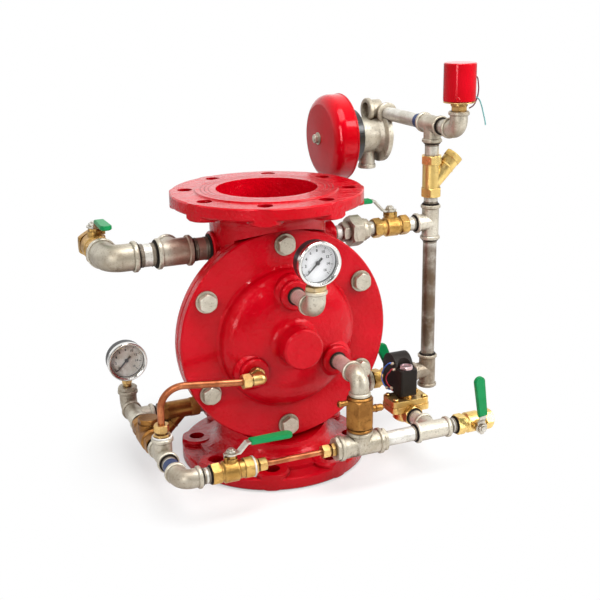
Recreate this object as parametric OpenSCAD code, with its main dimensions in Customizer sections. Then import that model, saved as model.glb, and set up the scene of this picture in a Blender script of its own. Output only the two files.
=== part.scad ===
// Diaphragm deluge valve with its trim: flanged body, bolted cover, test and drain pipework,
// two gauges, solenoid release, pressure switch and water motor gong.
// Origin: centre of the bottom flange's face. +Z up, cover faces -Y, riser stands at +X.

/* [Valve body] */
// Bore of both flanges
bore_d = 150; // [140:1:156]
// Height from flange face to flange face
face_to_face = 422; // [410:1:440]
// Outside diameter of the pipe flanges
flange_od = 285; // [280:1:300]
// Thickness of the pipe flange rim
flange_t = 20; // [16:1:24]
// Distance of the bolt circle inside the pipe flanges' edge
bolt_edge = 22.5; // [20.5:0.5:24.5]
// Bolt hole diameter of the inlet flange
inlet_bolt_hole = 23; // [18:1:24]
// Bolt hole diameter of the outlet flange
outlet_bolt_hole = 22; // [18:1:24]
// Number of flange bolts
bolt_count = 8; // [8:4:8]
// Width of the pipe flanges' rim outside the raised face
flange_rim = 36.5; // [35.5:0.5:41.5]
// Height of the raised face
raised_face_h = 2; // [1:0.5:3]
// Outside diameter of the vertical barrel
barrel_od = 172; // [168:1:178]
// Height of the valve chamber's centre
chamber_z = 211; // [207:1:215]
// Outside diameter of the chamber drum
drum_od = 260; // [254:1:266]
// Wall thickness of the casting
wall_t = 12; // [10:1:14]
// Distance of the seat partition behind the valve axis
partition_y = 18; // [15:1:21]
// Half thickness of the partition that carries the seat
partition_t = 8; // [6:1:9]
// Reach of the domed back behind the axis
dome_reach = 92; // [88:1:98]
// Clear bore of the seat ring
seat_bore = 96; // [84:1:100]

/* [Cover] */
// Outside diameter of the cover and of the body flange it bolts to
cover_od = 323; // [319:1:330]
// Thickness of the cover flange and of the body flange
cover_flange_t = 13.5; // [11:0.5:15]
// Distance of the cover flange's front face from the valve axis
cover_front = 65; // [64:1:68]
// Distance of the bolt circle inside the cover's edge
cover_bolt_edge = 22; // [20:0.5:24]
// Number of cover bolts
cover_bolt_count = 6; // [4:1:8]
// Thread diameter of the cover bolts
cover_bolt_d = 16; // [12:1:18]
// Thickness of the rubber diaphragm
diaphragm_t = 2.5; // [2:0.5:4]
// Radius of the cover's raised dome
cover_dome_r = 104; // [98:1:108]
// Height of the cover's dome above its flange
cover_dome_h = 33; // [28:1:38]
// Diameter of the middle boss
middle_boss_d = 60; // [50:1:64]
// Distance of the middle boss's face from the valve axis
middle_boss_front = 132; // [126:1:138]
// Distance of the small bosses from the middle of the cover
port_circle_r = 73; // [70:1:75]
// Angle of the two lower bosses below the horizontal
port_angle = 28.5; // [26:0.5:31]
// Distance of the small bosses' faces from the valve axis
port_front = 105; // [102:1:108]

/* [Moving disc] */
// Travel of the main disc
disc_travel = 30; // [15:1:34]
// Diameter of the disc's guide stem
disc_stem_d = 24; // [18:1:26]

/* [Half-inch trim] */
// Outside diameter of the small pipe
pipe_od = 21.8; // [21:0.2:22.4]
// Inside diameter of the small pipe
pipe_id = 15.6; // [14:0.2:17]
// Body diameter of the small malleable fittings
fit_body_d = 26.8; // [26:0.2:28]
// Bead diameter of the small malleable fittings
fit_bead_d = 31.4; // [30:0.2:32]
// Centre to face of the small elbows and tees
fit_reach = 28; // [27:0.5:30]
// Screwed depth of the small pipe
thread_len = 12; // [10:0.5:12.5]

/* [Larger trim] */
// Outside diameter of the inch pipe
large_pipe_od = 33.4; // [32:0.2:34]
// Inside diameter of the inch pipe
large_pipe_id = 26; // [24:0.5:28]
// Centre to face of the inch elbow
large_reach = 41; // [40:0.5:44]
// Outside diameter of the three-quarter thread
middle_pipe_od = 27; // [26.4:0.2:27.4]
// Centre to face of the three-quarter tee
middle_reach = 34; // [32:0.5:35]

/* [Pipework layout] */
// Height of the upper side ports
upper_z = 341; // [338:1:345]
// Height of the front run
run_z = 72.5; // [70:0.5:76]
// Distance of the front run in front of the valve axis
run_front = 178; // [174:1:182]
// Distance of the left run from the valve axis
left_x = 203; // [198:1:208]
// Distance of the riser from the valve axis
riser_x = 277; // [274:1:282]
// Height of the riser's lower tee
riser_foot_z = 90; // [87:1:95]
// Height of the top tee on the riser
riser_top_z = 495; // [490:1:500]
// Distance of the second front tee from the valve axis
drain_tee_x = 183; // [180:1:186]
// Place of the upper left elbow
test_elbow_x = 241; // [236:1:246]
// Place of the tube tee along the left run, in front of the axis
tube_tee_front = 92; // [88:1:96]
// Place of the strainer tee along the left run, behind the axis
strainer_tee_back = 58; // [55:1:61]
// Place of the gauge elbow along the left run, behind the axis
gauge_elbow_back = 103; // [102:1:108]

/* [Instruments] */
// Outside diameter of the gauge bezels
gauge_d = 62; // [58:1:64]
// Height of the cover gauge's centre above its elbow
gauge_rise = 67; // [66:1:72]
// Distance of the cover gauge's elbow from the valve axis
gauge_elbow_front = 174; // [170:1:180]
// Diameter of the pressure switch's red cover
switch_d = 48; // [44:1:50]
// Height of the pressure switch's red cover
switch_h = 56; // [56:1:66]
// Diameter of the gong
gong_d = 143; // [138:1:146]
// Depth of the gong
gong_depth = 42; // [38:1:44]
// Height of the water motor's shaft below the inlet pipe
motor_drop = 36; // [34:1:38]
// Distance of the water motor's shaft behind the riser
motor_back = 170; // [166:1:174]

/* [Ball valves] */
// Length of a half-inch ball valve
valve_len = 60; // [56:1:62]
// Radius of the ball
ball_r = 11.2; // [10.6:0.1:11.6]
// Bore through the ball
ball_bore = 15; // [12:0.5:16]
// Height of the lever above the valve's axis
lever_h = 27; // [26:0.5:30]
// Reach of the lever from its stem
lever_len = 86; // [80:1:92]
// Thickness of the steel lever
lever_t = 2.5; // [2:0.1:3]
// Width of the steel lever
lever_w = 12; // [10:0.5:13]
// Turn of the side valve's lever from open
side_lever_turn = 66; // [60:1:88]

/* [Hidden] */
$fn = 64;

LEFT = [-1, 0, 0];
RIGHT = [1, 0, 0];
FRONT = [0, -1, 0];
BACK = [0, 1, 0];
UP = [0, 0, 1];
DOWN = [0, 0, -1];

RED = "#c8101c";
GALVANISED = "#b9b3a2";
BRASS = "#c89a42";
BRONZE = "#9c6a2e";
COPPER = "#b06a40";
STEEL = "#c9c7c2";
BLACK = "#1d1b1a";
GREEN = "#1f9a50";

eps = 0.01;
// Gap between pieces of one node that touch
seam = 0.02;
// Radial gap of a screwed joint, and of a turning or sliding pin
thread_gap = 0.05;
run_gap = 0.05;
// Gap between a moving piece and the casting round it
free_gap = 0.4;

// Size set of a malleable fitting
// [0 reach, 1 body radius, 2 bead radius, 3 bead width, 4 pipe radius, 5 bore radius, 6 thread length]
small = [fit_reach, fit_body_d / 2, fit_bead_d / 2, 6, pipe_od / 2, pipe_id / 2, thread_len];
middle = [middle_reach, middle_pipe_od / 2 + 3, middle_pipe_od / 2 + 5.2, 6.5,
          middle_pipe_od / 2, 10, 14];
large = [large_reach, large_pipe_od / 2 + 2.9, large_pipe_od / 2 + 5.8, 7,
         large_pipe_od / 2, large_pipe_id / 2, 16];
function reach(g) = g[0];
function body_r(g) = g[1];
function bead_r(g) = g[2];
function bead_w(g) = g[3];
function pipe_r(g) = g[4];
function bore_r(g) = g[5];
function screwed(g) = g[6];

// Heights and places that several pieces share
bolt_circle = flange_od - 2 * bolt_edge;
raised_face_od = flange_od - 2 * flange_rim;
cover_bolt_circle = cover_od - 2 * cover_bolt_edge;
cover_face_y = -cover_front;
cover_back_y = cover_face_y + cover_flange_t;
body_flange_y = cover_back_y + diaphragm_t;
front_y = -run_front;
chamber_r = drum_od / 2 - wall_t;
port_x = port_circle_r * cos(port_angle);
port_z = chamber_z - port_circle_r * sin(port_angle);
gauge_port_z = chamber_z + port_circle_r;
tee_x = port_x;
relief_elbow_z = port_z;
relief_top_z = relief_elbow_z - fit_reach;
relief_bottom_z = run_z + body_r(middle) + 6;
lower_port_x = 92;
test_port_x = 92;
alarm_port_x = 105;
side_port_x = 100;
motor_shaft_z = riser_top_z - motor_drop;

// Local +Z is turned to a and local +X to b, then moved to p
module place(p, a = UP, b = RIGHT) {
    c = cross(a, b);
    multmatrix([[b[0], c[0], a[0], p[0]], [b[1], c[1], a[1], p[1]],
                [b[2], c[2], a[2], p[2]], [0, 0, 0, 1]]) children();
}
function side(a) = abs(a[2]) > 0.5 ? RIGHT : UP;
module along(p, a) place(p, a, side(a)) children();

// Basic turned shapes along local +Z
module rod(z0, z1, r) translate([0, 0, z0]) cylinder(h = z1 - z0, r = r);
module ring(z0, z1, r, hole) difference() {
    rod(z0, z1, r);
    rod(z0 - 1, z1 + 1, hole);
}
// A disc with both edges chamfered
module chamfered(z0, z1, r, c = 1) rotate_extrude()
    polygon([[0, z0], [r - c, z0], [r, z0 + c], [r, z1 - c], [r - c, z1], [0, z1]]);
// A hexagon, given across its flats
module hexagon(z0, z1, flats) translate([0, 0, z0])
    cylinder(h = z1 - z0, r = flats / 2 / cos(30), $fn = 6);
// A hexagon with its corners turned down at the ends
module hex_nut(z0, z1, flats) intersection() {
    hexagon(z0, z1, flats);
    chamfered(z0, z1, flats / 2 / cos(30) - 0.2, flats * 0.06);
}

// Screwed pipework
// A pipe between two faces; g sets its size, and first and last the fittings it screws into
module pipe_between(g, first, from, to, last)
    ring(from - screwed(first), to + screwed(last), pipe_r(g), bore_r(g));
module nipple(g, from, to) pipe_between(g, g, from, to, g);
module socket(g, face) {
    rod(face - screwed(g), face + 1, pipe_r(g) + thread_gap);
    rod(-eps, face, bore_r(g));
}
module collar(g, start, face) {
    rod(start, face - 1, body_r(g));
    chamfered(face - bead_w(g), face, bead_r(g), 1.4);
}
// Ports along +Z and +X, joined by a quarter bend
module elbow(g) {
    bend = body_r(g) + 2;
    difference() {
        union() {
            place([bend, 0, bend], FRONT, LEFT) rotate_extrude(angle = 90)
                translate([bend, 0]) circle(r = body_r(g));
            collar(g, bend, reach(g));
            along([0, 0, 0], RIGHT) collar(g, bend, reach(g));
        }
        place([bend, 0, bend], FRONT, LEFT) rotate_extrude(angle = 90)
            translate([bend, 0]) circle(r = bore_r(g));
        for (d = [UP, RIGHT]) along([0, 0, 0], d) {
            rod(bend, reach(g) + 1, bore_r(g));
            rod(reach(g) - screwed(g), reach(g) + 1, pipe_r(g) + thread_gap);
        }
    }
}
// Run along Z, branch along +X, whose size set and reach may differ
module tee(g, branch, branch_reach) difference() {
    union() {
        rod(-reach(g) + 1, reach(g) - 1, body_r(g));
        for (s = [UP, DOWN]) along([0, 0, 0], s)
            chamfered(reach(g) - bead_w(g), reach(g), bead_r(g), 1.4);
        along([0, 0, 0], RIGHT) collar(branch, 0, branch_reach);
    }
    for (s = [UP, DOWN]) along([0, 0, 0], s) socket(g, reach(g));
    along([0, 0, 0], RIGHT) {
        rod(0, branch_reach + 1, bore_r(branch));
        rod(branch_reach - screwed(branch), branch_reach + 1, pipe_r(branch) + thread_gap);
    }
}
module even_tee(g) tee(g, g, reach(g));

// A tube swept along a path; ref is never parallel to the path
function unit(v) = v / norm(v);
module swept(path, r, ref) {
    n = len(path);
    rim = [for (i = [0 : n - 1])
        let (t = path[min(i + 1, n - 1)] - path[max(i - 1, 0)],
             u = unit(cross(t, ref)), v = unit(cross(t, u)))
        for (k = [0 : 7]) path[i] + r * (cos(k * 45) * u + sin(k * 45) * v)];
    polyhedron(points = rim, convexity = 8, faces = concat(
        [[for (k = [0 : 7]) k]], [[for (k = [7 : -1 : 0]) (n - 1) * 8 + k]],
        [for (i = [0 : n - 2], k = [0 : 7])
            let (a = i * 8 + k, b = i * 8 + (k + 1) % 8) each [[a, a + 8, b + 8], [a, b + 8, b]]]));
}
// Smooth route through chosen points, three rings to a stretch
function blend(p, q, r, s, t) = 0.5 * (2 * q + (r - p) * t + (2 * p - 5 * q + 4 * r - s) * t * t
    + (3 * q - p - 3 * r + s) * t * t * t);
function route(p) = let (n = len(p) - 1) concat(
    [for (i = [0 : n - 1], t = [0 : 2])
        blend(p[max(i - 1, 0)], p[i], p[i + 1], p[min(i + 2, n)], t / 3)], [p[n]]);

// Valve body: two flanges and a barrel, a domed drum, and the seat partition inside
flange_step_r = flange_od / 2 - 25.5;
pad_h = 7;
pad_r = 26;
flare_r = 22;
neck_r = barrel_od / 2;
dome_start_y = 26;
partition_front = partition_y - partition_t;
partition_back = partition_y + partition_t;
screw_end_y = body_flange_y + cover_flange_t + 3;
inner_front_y = screw_end_y + wall_t;
lower_full_z = chamber_z - cover_od / 2 - wall_t;
upper_full_z = chamber_z + cover_od / 2 + wall_t;
passage_low_z = chamber_z - chamber_r - wall_t;
passage_high_z = chamber_z + chamber_r + wall_t;
test_port = [-test_port_x, 0, upper_z];
alarm_port = [alarm_port_x, 0, upper_z];
side_port = [side_port_x, 0, riser_foot_z];
supply_port = [-lower_port_x, strainer_tee_back, run_z];
seat_ring_r = seat_bore / 2 + 7;
seat_face_y = partition_front - 6;

module flange_blank() {
    flare_z = flange_t + 5;
    rotate_extrude() polygon(concat(
        [[0, 0], [raised_face_od / 2 - 1, 0], [raised_face_od / 2, raised_face_h],
         [flange_od / 2 - 2, raised_face_h], [flange_od / 2, raised_face_h + 2],
         [flange_od / 2, flange_t - 2], [flange_od / 2 - 2, flange_t],
         [flange_step_r, flange_t], [flange_step_r - 2, flare_z]],
        [for (t = [0 : 15 : 90])
            [neck_r + flare_r * (1 - sin(t)), flare_z + flare_r * (1 - cos(t))]],
        [[0, flare_z + flare_r]]));
    intersection() {
        rod(raised_face_h, flange_t + pad_h, flange_od / 2);
        bolt_circle_places() chamfered(raised_face_h, flange_t + pad_h, pad_r, 3);
    }
}
module bolt_circle_places() for (i = [0 : bolt_count - 1])
    rotate(360 / bolt_count * (i + 0.5)) translate([bolt_circle / 2, 0, 0]) children();
module flange_cuts(hole) {
    bolt_circle_places() rod(-1, flange_t + pad_h + 1, hole / 2);
    for (r = [bore_d / 2 + 10 : 6 : raised_face_od / 2 - 6]) ring(-1, 0.8, r + 0.8, r);
}
module at_outlet() translate([0, 0, face_to_face]) mirror([0, 0, 1]) children();
// The part of a shape that lies between two distances behind the valve axis
module slab(y0, y1) intersection() {
    children();
    translate([-200, y0, -1]) cube([400, y1 - y0, face_to_face + 2]);
}
module drum(r, y_rim, y_dome) rotate_extrude() polygon(concat(
    [[0, y_rim], [r, y_rim]],
    [for (t = [0 : 7.5 : 90]) [r * cos(t), dome_start_y + (y_dome - dome_start_y) * sin(t)]]));
module boss(p, a, r, len) along(p, a) chamfered(-len, 0, r, 2);
module boss_cut(p, a, deep, g) along(p, a) {
    rod(-screwed(g), 1, pipe_r(g) + thread_gap);
    rod(-deep, 1, bore_r(g));
}
module waterway() {
    rod(-1, lower_full_z, bore_d / 2);
    slab(inner_front_y, bore_d) rod(lower_full_z - 1, passage_low_z, bore_d / 2);
    slab(inner_front_y, partition_front) rod(passage_low_z - 1, chamber_z, bore_d / 2);
    slab(partition_back, bore_d) rod(chamber_z, passage_high_z + 1, bore_d / 2);
    slab(inner_front_y, bore_d) rod(passage_high_z, upper_full_z + 1, bore_d / 2);
    rod(upper_full_z, face_to_face + 1, bore_d / 2);
    along([0, 0, chamber_z], BACK) {
        rod(body_flange_y - 1, partition_front, chamber_r);
        rod(partition_front - 1, partition_back + 1, seat_bore / 2);
        rod(partition_front - 1, partition_y, seat_ring_r + thread_gap);
    }
    slab(partition_back, bore_d) along([0, 0, chamber_z], BACK)
        drum(chamber_r, partition_front, dome_reach - wall_t);
}
module valve_body() color(RED) difference() {
    union() {
        difference() {
            union() {
                flange_blank();
                at_outlet() flange_blank();
                rod(flange_t, face_to_face - flange_t, neck_r);
            }
            along([0, 0, chamber_z], FRONT) rod(-body_flange_y, flange_od, cover_od / 2 + 3);
        }
        along([0, 0, chamber_z], BACK) {
            drum(drum_od / 2, body_flange_y + 4, dome_reach);
            chamfered(body_flange_y, body_flange_y + cover_flange_t, cover_od / 2, 1.5);
        }
        boss(test_port, LEFT, 24.5, 40);
        boss(alarm_port, RIGHT, 20, 50);
        boss(side_port, RIGHT, 20, 55);
        boss(supply_port, LEFT, 20, 62);
    }
    flange_cuts(inlet_bolt_hole);
    at_outlet() flange_cuts(outlet_bolt_hole);
    waterway();
    boss_cut(test_port, LEFT, 50, large);
    boss_cut(alarm_port, RIGHT, 60, small);
    boss_cut(side_port, RIGHT, 60, small);
    boss_cut(supply_port, LEFT, 60, small);
    cover_screw_places() rod(-1, screw_end_y - cover_face_y + 1, cover_bolt_d / 2 + thread_gap);
}
module seat_ring() color(BRONZE) along([0, 0, chamber_z], BACK) difference() {
    rotate_extrude() polygon([[0, seat_face_y], [seat_bore / 2 + 3, seat_face_y],
                              [seat_bore / 2 + 5, seat_face_y + 2],
                              [seat_ring_r, partition_front], [seat_ring_r, partition_y],
                              [0, partition_y]]);
    rod(seat_face_y - 1, partition_y + 1, seat_bore / 2);
}

// Cover screws: the first stands straight above the middle
washer_t = 3;
module cover_screw_places() for (i = [0 : cover_bolt_count - 1])
    along([cover_bolt_circle / 2 * sin(i * 360 / cover_bolt_count), cover_face_y,
           chamber_z + cover_bolt_circle / 2 * cos(i * 360 / cover_bolt_count)], BACK) children();
module cover_bolts() color(STEEL) cover_screw_places() {
    rod(-washer_t - 1, screw_end_y - cover_face_y, cover_bolt_d / 2);
    hex_nut(-washer_t - 9, -washer_t, 1.5 * cover_bolt_d);
    ring(seam - washer_t, 0, cover_bolt_d / 2 + 8, cover_bolt_d / 2 + 0.3);
}

// Main disc: a guided plate bonded to the rubber diaphragm, held on the seat by a spring
disc_r = seat_bore / 2 + 13;
disc_t = 9;
disc_front_y = seat_face_y - disc_t;
plate_back_y = disc_front_y - diaphragm_t;
plate_front_y = plate_back_y - 4;
guide_end_y = 4 - middle_boss_front;
guide_mouth_y = 5 - cover_front;
stem_end_y = guide_end_y + disc_travel + 2;
fold_r = chamber_r - 6;
dome_inner_y = cover_face_y - cover_dome_h + wall_t;
spring_wire_r = 2.5;
spring_r = disc_stem_d / 2 + 16;
module main_disc() color(BRONZE) along([0, 0, chamber_z], BACK) {
    chamfered(disc_front_y, seat_face_y, disc_r, 1.5);
    rod(stem_end_y, disc_front_y + 1, disc_stem_d / 2);
    ring(plate_front_y, plate_back_y, disc_r - 6, disc_stem_d / 2 + thread_gap);
    difference() {
        hex_nut(plate_front_y - 10, plate_front_y - seam, 1.5 * disc_stem_d);
        rod(plate_front_y - 11, plate_front_y + 1, disc_stem_d / 2 + thread_gap);
    }
}
module diaphragm() color(BLACK) difference() {
    along([0, 0, chamber_z], BACK) difference() {
        union() {
            rod(cover_back_y, body_flange_y, cover_od / 2 - 2);
            rotate_extrude() polygon([[0, plate_back_y], [disc_r + 2, plate_back_y],
                                      [fold_r, cover_back_y], [fold_r + 1, body_flange_y],
                                      [disc_r + 4, disc_front_y], [0, disc_front_y]]);
        }
        rotate_extrude() polygon([[0, plate_back_y], [disc_r + 2, plate_back_y],
                                  [fold_r, cover_back_y], [fold_r, cover_back_y - 1],
                                  [0, cover_back_y - 1]]);
        rod(plate_back_y - 1, disc_front_y + 1, disc_stem_d / 2 + 1);
    }
    cover_screw_places() rod(-1, screw_end_y - cover_face_y, cover_bolt_d / 2 + 1);
}
spring_turns = 6;
spring_step = 22.5;
module main_spring() color(STEEL) along([0, 0, chamber_z], BACK)
    swept([for (a = [0 : spring_step : 360 * spring_turns])
        let (start = plate_front_y - spring_wire_r - 0.2, end = dome_inner_y + spring_wire_r + 0.4)
        [spring_r * cos(a), spring_r * sin(a), start + (end - start) * a / 360 / spring_turns]],
        spring_wire_r, [0, 0, 1]);

// Cover: a domed lid with three small bosses and the guide of the main disc
port_places = [[0, gauge_port_z], [port_x, port_z], [-port_x, port_z]];
dome_top = cover_front + cover_dome_h;
boss_fillet = 11;
function bulge(r, h, y) = [for (t = [0 : 7.5 : 90]) [r * pow(cos(t), 0.55), y - h * sin(t)]];
module cover_bore(y0, y1, r) along([0, 0, chamber_z], BACK) rod(y0, y1, r);
module valve_cover() color(RED) difference() {
    union() {
        difference() {
            union() {
                along([0, 0, chamber_z], BACK) rotate_extrude() polygon(concat(
                    [[0, cover_back_y], [cover_od / 2, cover_back_y],
                     [cover_od / 2, cover_face_y + 2], [cover_od / 2 - 2, cover_face_y],
                     [cover_dome_r + 5, cover_face_y], [cover_dome_r + 1, cover_face_y - 2]],
                    bulge(cover_dome_r, cover_dome_h - 5, cover_face_y - 5)));
                along([0, 0, chamber_z], FRONT) rotate_extrude() polygon(concat(
                    [[0, dome_top - 6], [middle_boss_d / 2 + boss_fillet, dome_top - 6]],
                    [for (t = [0 : 15 : 90]) [middle_boss_d / 2 + boss_fillet * (1 - sin(t)),
                                              dome_top - 1 + boss_fillet * (1 - cos(t))]],
                    [[0, dome_top - 1 + boss_fillet]]));
                for (p = port_places) along([p[0], 0, p[1]], FRONT) {
                    chamfered(cover_front + 6, port_front, 22, 2);
                    chamfered(cover_front + 6, dome_top - 1, 28, 5);
                }
                along([0, 0, chamber_z], FRONT)
                    chamfered(cover_front + 6, middle_boss_front, middle_boss_d / 2, 2.5);
            }
            along([0, 0, chamber_z], BACK) rotate_extrude() polygon(concat(
                [[0, cover_back_y + 1], [fold_r, cover_back_y + 1], [fold_r, cover_back_y]],
                bulge(cover_dome_r - wall_t, cover_dome_h - wall_t, cover_face_y)));
        }
        cover_bore(dome_inner_y - 1, guide_mouth_y, disc_stem_d / 2 + 8);
    }
    cover_bore(guide_end_y, guide_mouth_y + 1, disc_stem_d / 2 + run_gap);
    for (p = port_places) along([p[0], 0, p[1]], FRONT) {
        rod(cover_front, port_front + 1, bore_r(small));
        rod(port_front - screwed(small), port_front + 1, pipe_r(small) + thread_gap);
    }
    cover_screw_places() rod(-1, cover_flange_t + 1, cover_bolt_d / 2 + 1);
}

// Places along the pipe runs: x on the front and side runs, y on the left run
cover_elbow_y = -gauge_elbow_front;
front_valve_x = -left_x + fit_reach + 14 + valve_len / 2;
tee_bush_h = 6;
drain_valve_x = drain_tee_x + fit_reach + 12 + valve_len / 2;
check_front_y = -tube_tee_front + fit_reach + 6;
check_back_y = strainer_tee_back - fit_reach - 6;
strainer_len = 65;
supply_strainer_x = -left_x + fit_reach + 7 + strainer_len / 2;
test_tee_x = -test_port_x - 54;
short_large = [26, body_r(large), bead_r(large), bead_w(large), pipe_r(large), bore_r(large), 14];
large_k = 1.3;
test_valve_len = 1.1 * valve_len;
test_valve_y = large_reach + 2 + test_valve_len / 2;
union_start_x = alarm_port_x + 15;
union_end_x = riser_x - fit_reach - 15 - valve_len - 9;
alarm_valve_x = riser_x - fit_reach - 15 - valve_len / 2;
side_valve_x = alarm_valve_x;
coupling_start_x = side_port_x + 50;
coupling_end_x = side_valve_x - valve_len / 2 - 3;
riser_strainer_z = upper_z + fit_reach + 13 + strainer_len / 2;
switch_elbow_y = -2 * fit_reach - 20;
motor_inlet_y = motor_back - 24;
solenoid_front_y = front_y + fit_reach + 24;
relief_branch = body_r(middle) + 6;

// Short pipes between the faces of neighbouring fittings
module pipe_nipples() color(GALVANISED) {
    along([0, 0, gauge_port_z], FRONT) nipple(small, port_front, gauge_elbow_front - fit_reach);
    along([port_x, 0, port_z], FRONT) nipple(small, port_front, run_front - fit_reach);
    along([0, front_y, run_z], RIGHT) {
        nipple(small, -left_x + fit_reach, front_valve_x - valve_len / 2);
        nipple(small, drain_tee_x + fit_reach, drain_valve_x - valve_len / 2);
    }
    along([-left_x, 0, run_z], BACK) {
        nipple(small, front_y + fit_reach, -tube_tee_front - fit_reach);
        nipple(small, -tube_tee_front + fit_reach, check_front_y);
        nipple(small, check_back_y, strainer_tee_back - fit_reach);
    }
    along([0, strainer_tee_back, run_z], RIGHT) {
        nipple(small, -left_x + fit_reach, supply_strainer_x - strainer_len / 2);
        nipple(small, supply_strainer_x + strainer_len / 2, -lower_port_x);
    }
    along([0, 0, upper_z], LEFT) {
        pipe_between(large, large, test_port_x, -test_tee_x - reach(short_large), short_large);
        pipe_between(large, short_large, -test_tee_x + reach(short_large),
                     test_elbow_x - large_reach, large);
    }
    along([-test_elbow_x, 0, upper_z], BACK)
        nipple(large, large_reach, test_valve_y - test_valve_len / 2);
    along([0, 0, upper_z], RIGHT) {
        nipple(small, alarm_port_x, union_start_x);
        nipple(small, union_end_x, alarm_valve_x - valve_len / 2);
        nipple(small, alarm_valve_x + valve_len / 2, riser_x - fit_reach);
    }
    along([0, 0, riser_foot_z], RIGHT) {
        nipple(small, side_port_x, coupling_start_x);
        nipple(small, coupling_end_x, side_valve_x - valve_len / 2);
        nipple(small, side_valve_x + valve_len / 2, riser_x - fit_reach);
    }
    along([riser_x, 0, 0], UP) {
        nipple(small, upper_z + fit_reach, riser_strainer_z - strainer_len / 2);
        nipple(small, riser_strainer_z + strainer_len / 2, riser_top_z - fit_reach);
    }
    along([riser_x, 0, riser_top_z], FRONT) nipple(small, fit_reach, -switch_elbow_y - fit_reach);
    along([drain_tee_x, 0, run_z], BACK) nipple(small, front_y + fit_reach, solenoid_front_y);
}
module long_pipes() color(GALVANISED) {
    along([riser_x, 0, 0], UP) nipple(small, riser_foot_z + fit_reach, upper_z - fit_reach);
    along([riser_x, 0, riser_top_z], BACK) nipple(small, fit_reach, motor_inlet_y);
    along([0, front_y, run_z], RIGHT)
        nipple(small, tee_x + middle_reach + tee_bush_h, drain_tee_x - fit_reach);
}
module pipe_elbows() color(GALVANISED) {
    place([0, cover_elbow_y, gauge_port_z], UP, BACK) elbow(small);
    place([port_x, front_y, relief_elbow_z], DOWN, BACK) elbow(small);
    place([-left_x, front_y, run_z], BACK, RIGHT) elbow(small);
    place([-test_elbow_x, 0, upper_z], BACK, RIGHT) elbow(large);
    place([riser_x, switch_elbow_y, riser_top_z], UP, BACK) elbow(small);
    place([-left_x, gauge_elbow_back, run_z], UP, FRONT) street_elbow();
}
// One socket along +Z, and a screwed end along +X that reaches into the tee before it
module street_elbow() difference() {
    bend = body_r(small) + 2;
    shoulder = gauge_elbow_back - strainer_tee_back - fit_reach;
    union() {
        place([bend, 0, bend], FRONT, LEFT) rotate_extrude(angle = 90)
            translate([bend, 0]) circle(r = body_r(small));
        collar(small, bend, fit_reach);
        along([0, 0, 0], RIGHT) {
            rod(bend, shoulder, body_r(small));
            rod(shoulder, shoulder + thread_len, pipe_r(small));
        }
    }
    place([bend, 0, bend], FRONT, LEFT) rotate_extrude(angle = 90)
        translate([bend, 0]) circle(r = bore_r(small));
    rod(bend, fit_reach + 1, bore_r(small));
    rod(fit_reach - thread_len, fit_reach + 1, pipe_r(small) + thread_gap);
    along([0, 0, 0], RIGHT) rod(bend, shoulder + thread_len + 1, bore_r(small));
}
test_branch = 38;
module pipe_tees() color(GALVANISED) {
    place([-left_x, -tube_tee_front, run_z], BACK, UP) even_tee(small);
    place([-left_x, strainer_tee_back, run_z], BACK, RIGHT) even_tee(small);
    place([tee_x, front_y, run_z], RIGHT, UP) tee(middle, middle, relief_branch);
    place([drain_tee_x, front_y, run_z], RIGHT, BACK) even_tee(small);
    place([test_tee_x, 0, upper_z], RIGHT, BACK) tee(short_large, middle, test_branch);
    place([riser_x, 0, upper_z], UP, LEFT) even_tee(small);
    place([riser_x, 0, riser_foot_z], UP, LEFT) even_tee(small);
    place([riser_x, 0, riser_top_z], BACK, DOWN) even_tee(small);
}

// Screwed reducers and plugs at the mouths of the fittings
gauge_thread = [0, 0, 0, 0, 6.5, 2.5, 9];
tube_thread = [0, 0, 0, 0, 5.5, 2.5, 9];
module bushing(outer, inner, face, hex_h) difference() {
    union() {
        rod(face - screwed(outer), face, pipe_r(outer));
        hex_nut(face, face + hex_h, 2 * pipe_r(outer) + 5);
    }
    rod(face - screwed(outer) - 1, face + hex_h + 1, bore_r(inner));
    rod(face + hex_h - screwed(inner), face + hex_h + 1, pipe_r(inner) + thread_gap);
}
module hex_bushings() color(GALVANISED) {
    for (p = [[0, cover_elbow_y, gauge_port_z], [-left_x, gauge_elbow_back, run_z]])
        along(p, UP) bushing(small, gauge_thread, fit_reach, 6);
    along([tee_x, front_y, run_z], LEFT) bushing(middle, tube_thread, middle_reach, tee_bush_h);
    along([tee_x, front_y, run_z], RIGHT) bushing(middle, small, middle_reach, tee_bush_h);
    // Plugs: one in the test tee's branch, one under the riser
    along([test_tee_x, 0, upper_z], BACK) {
        rod(test_branch - screwed(middle), test_branch, pipe_r(middle));
        hex_nut(test_branch, test_branch + 11, 27.5);
    }
    along([riser_x, 0, riser_foot_z], DOWN) difference() {
        rod(fit_reach - thread_len, fit_reach - 2, pipe_r(small));
        hexagon(fit_reach - 8, fit_reach, 11);
    }
}
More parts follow.
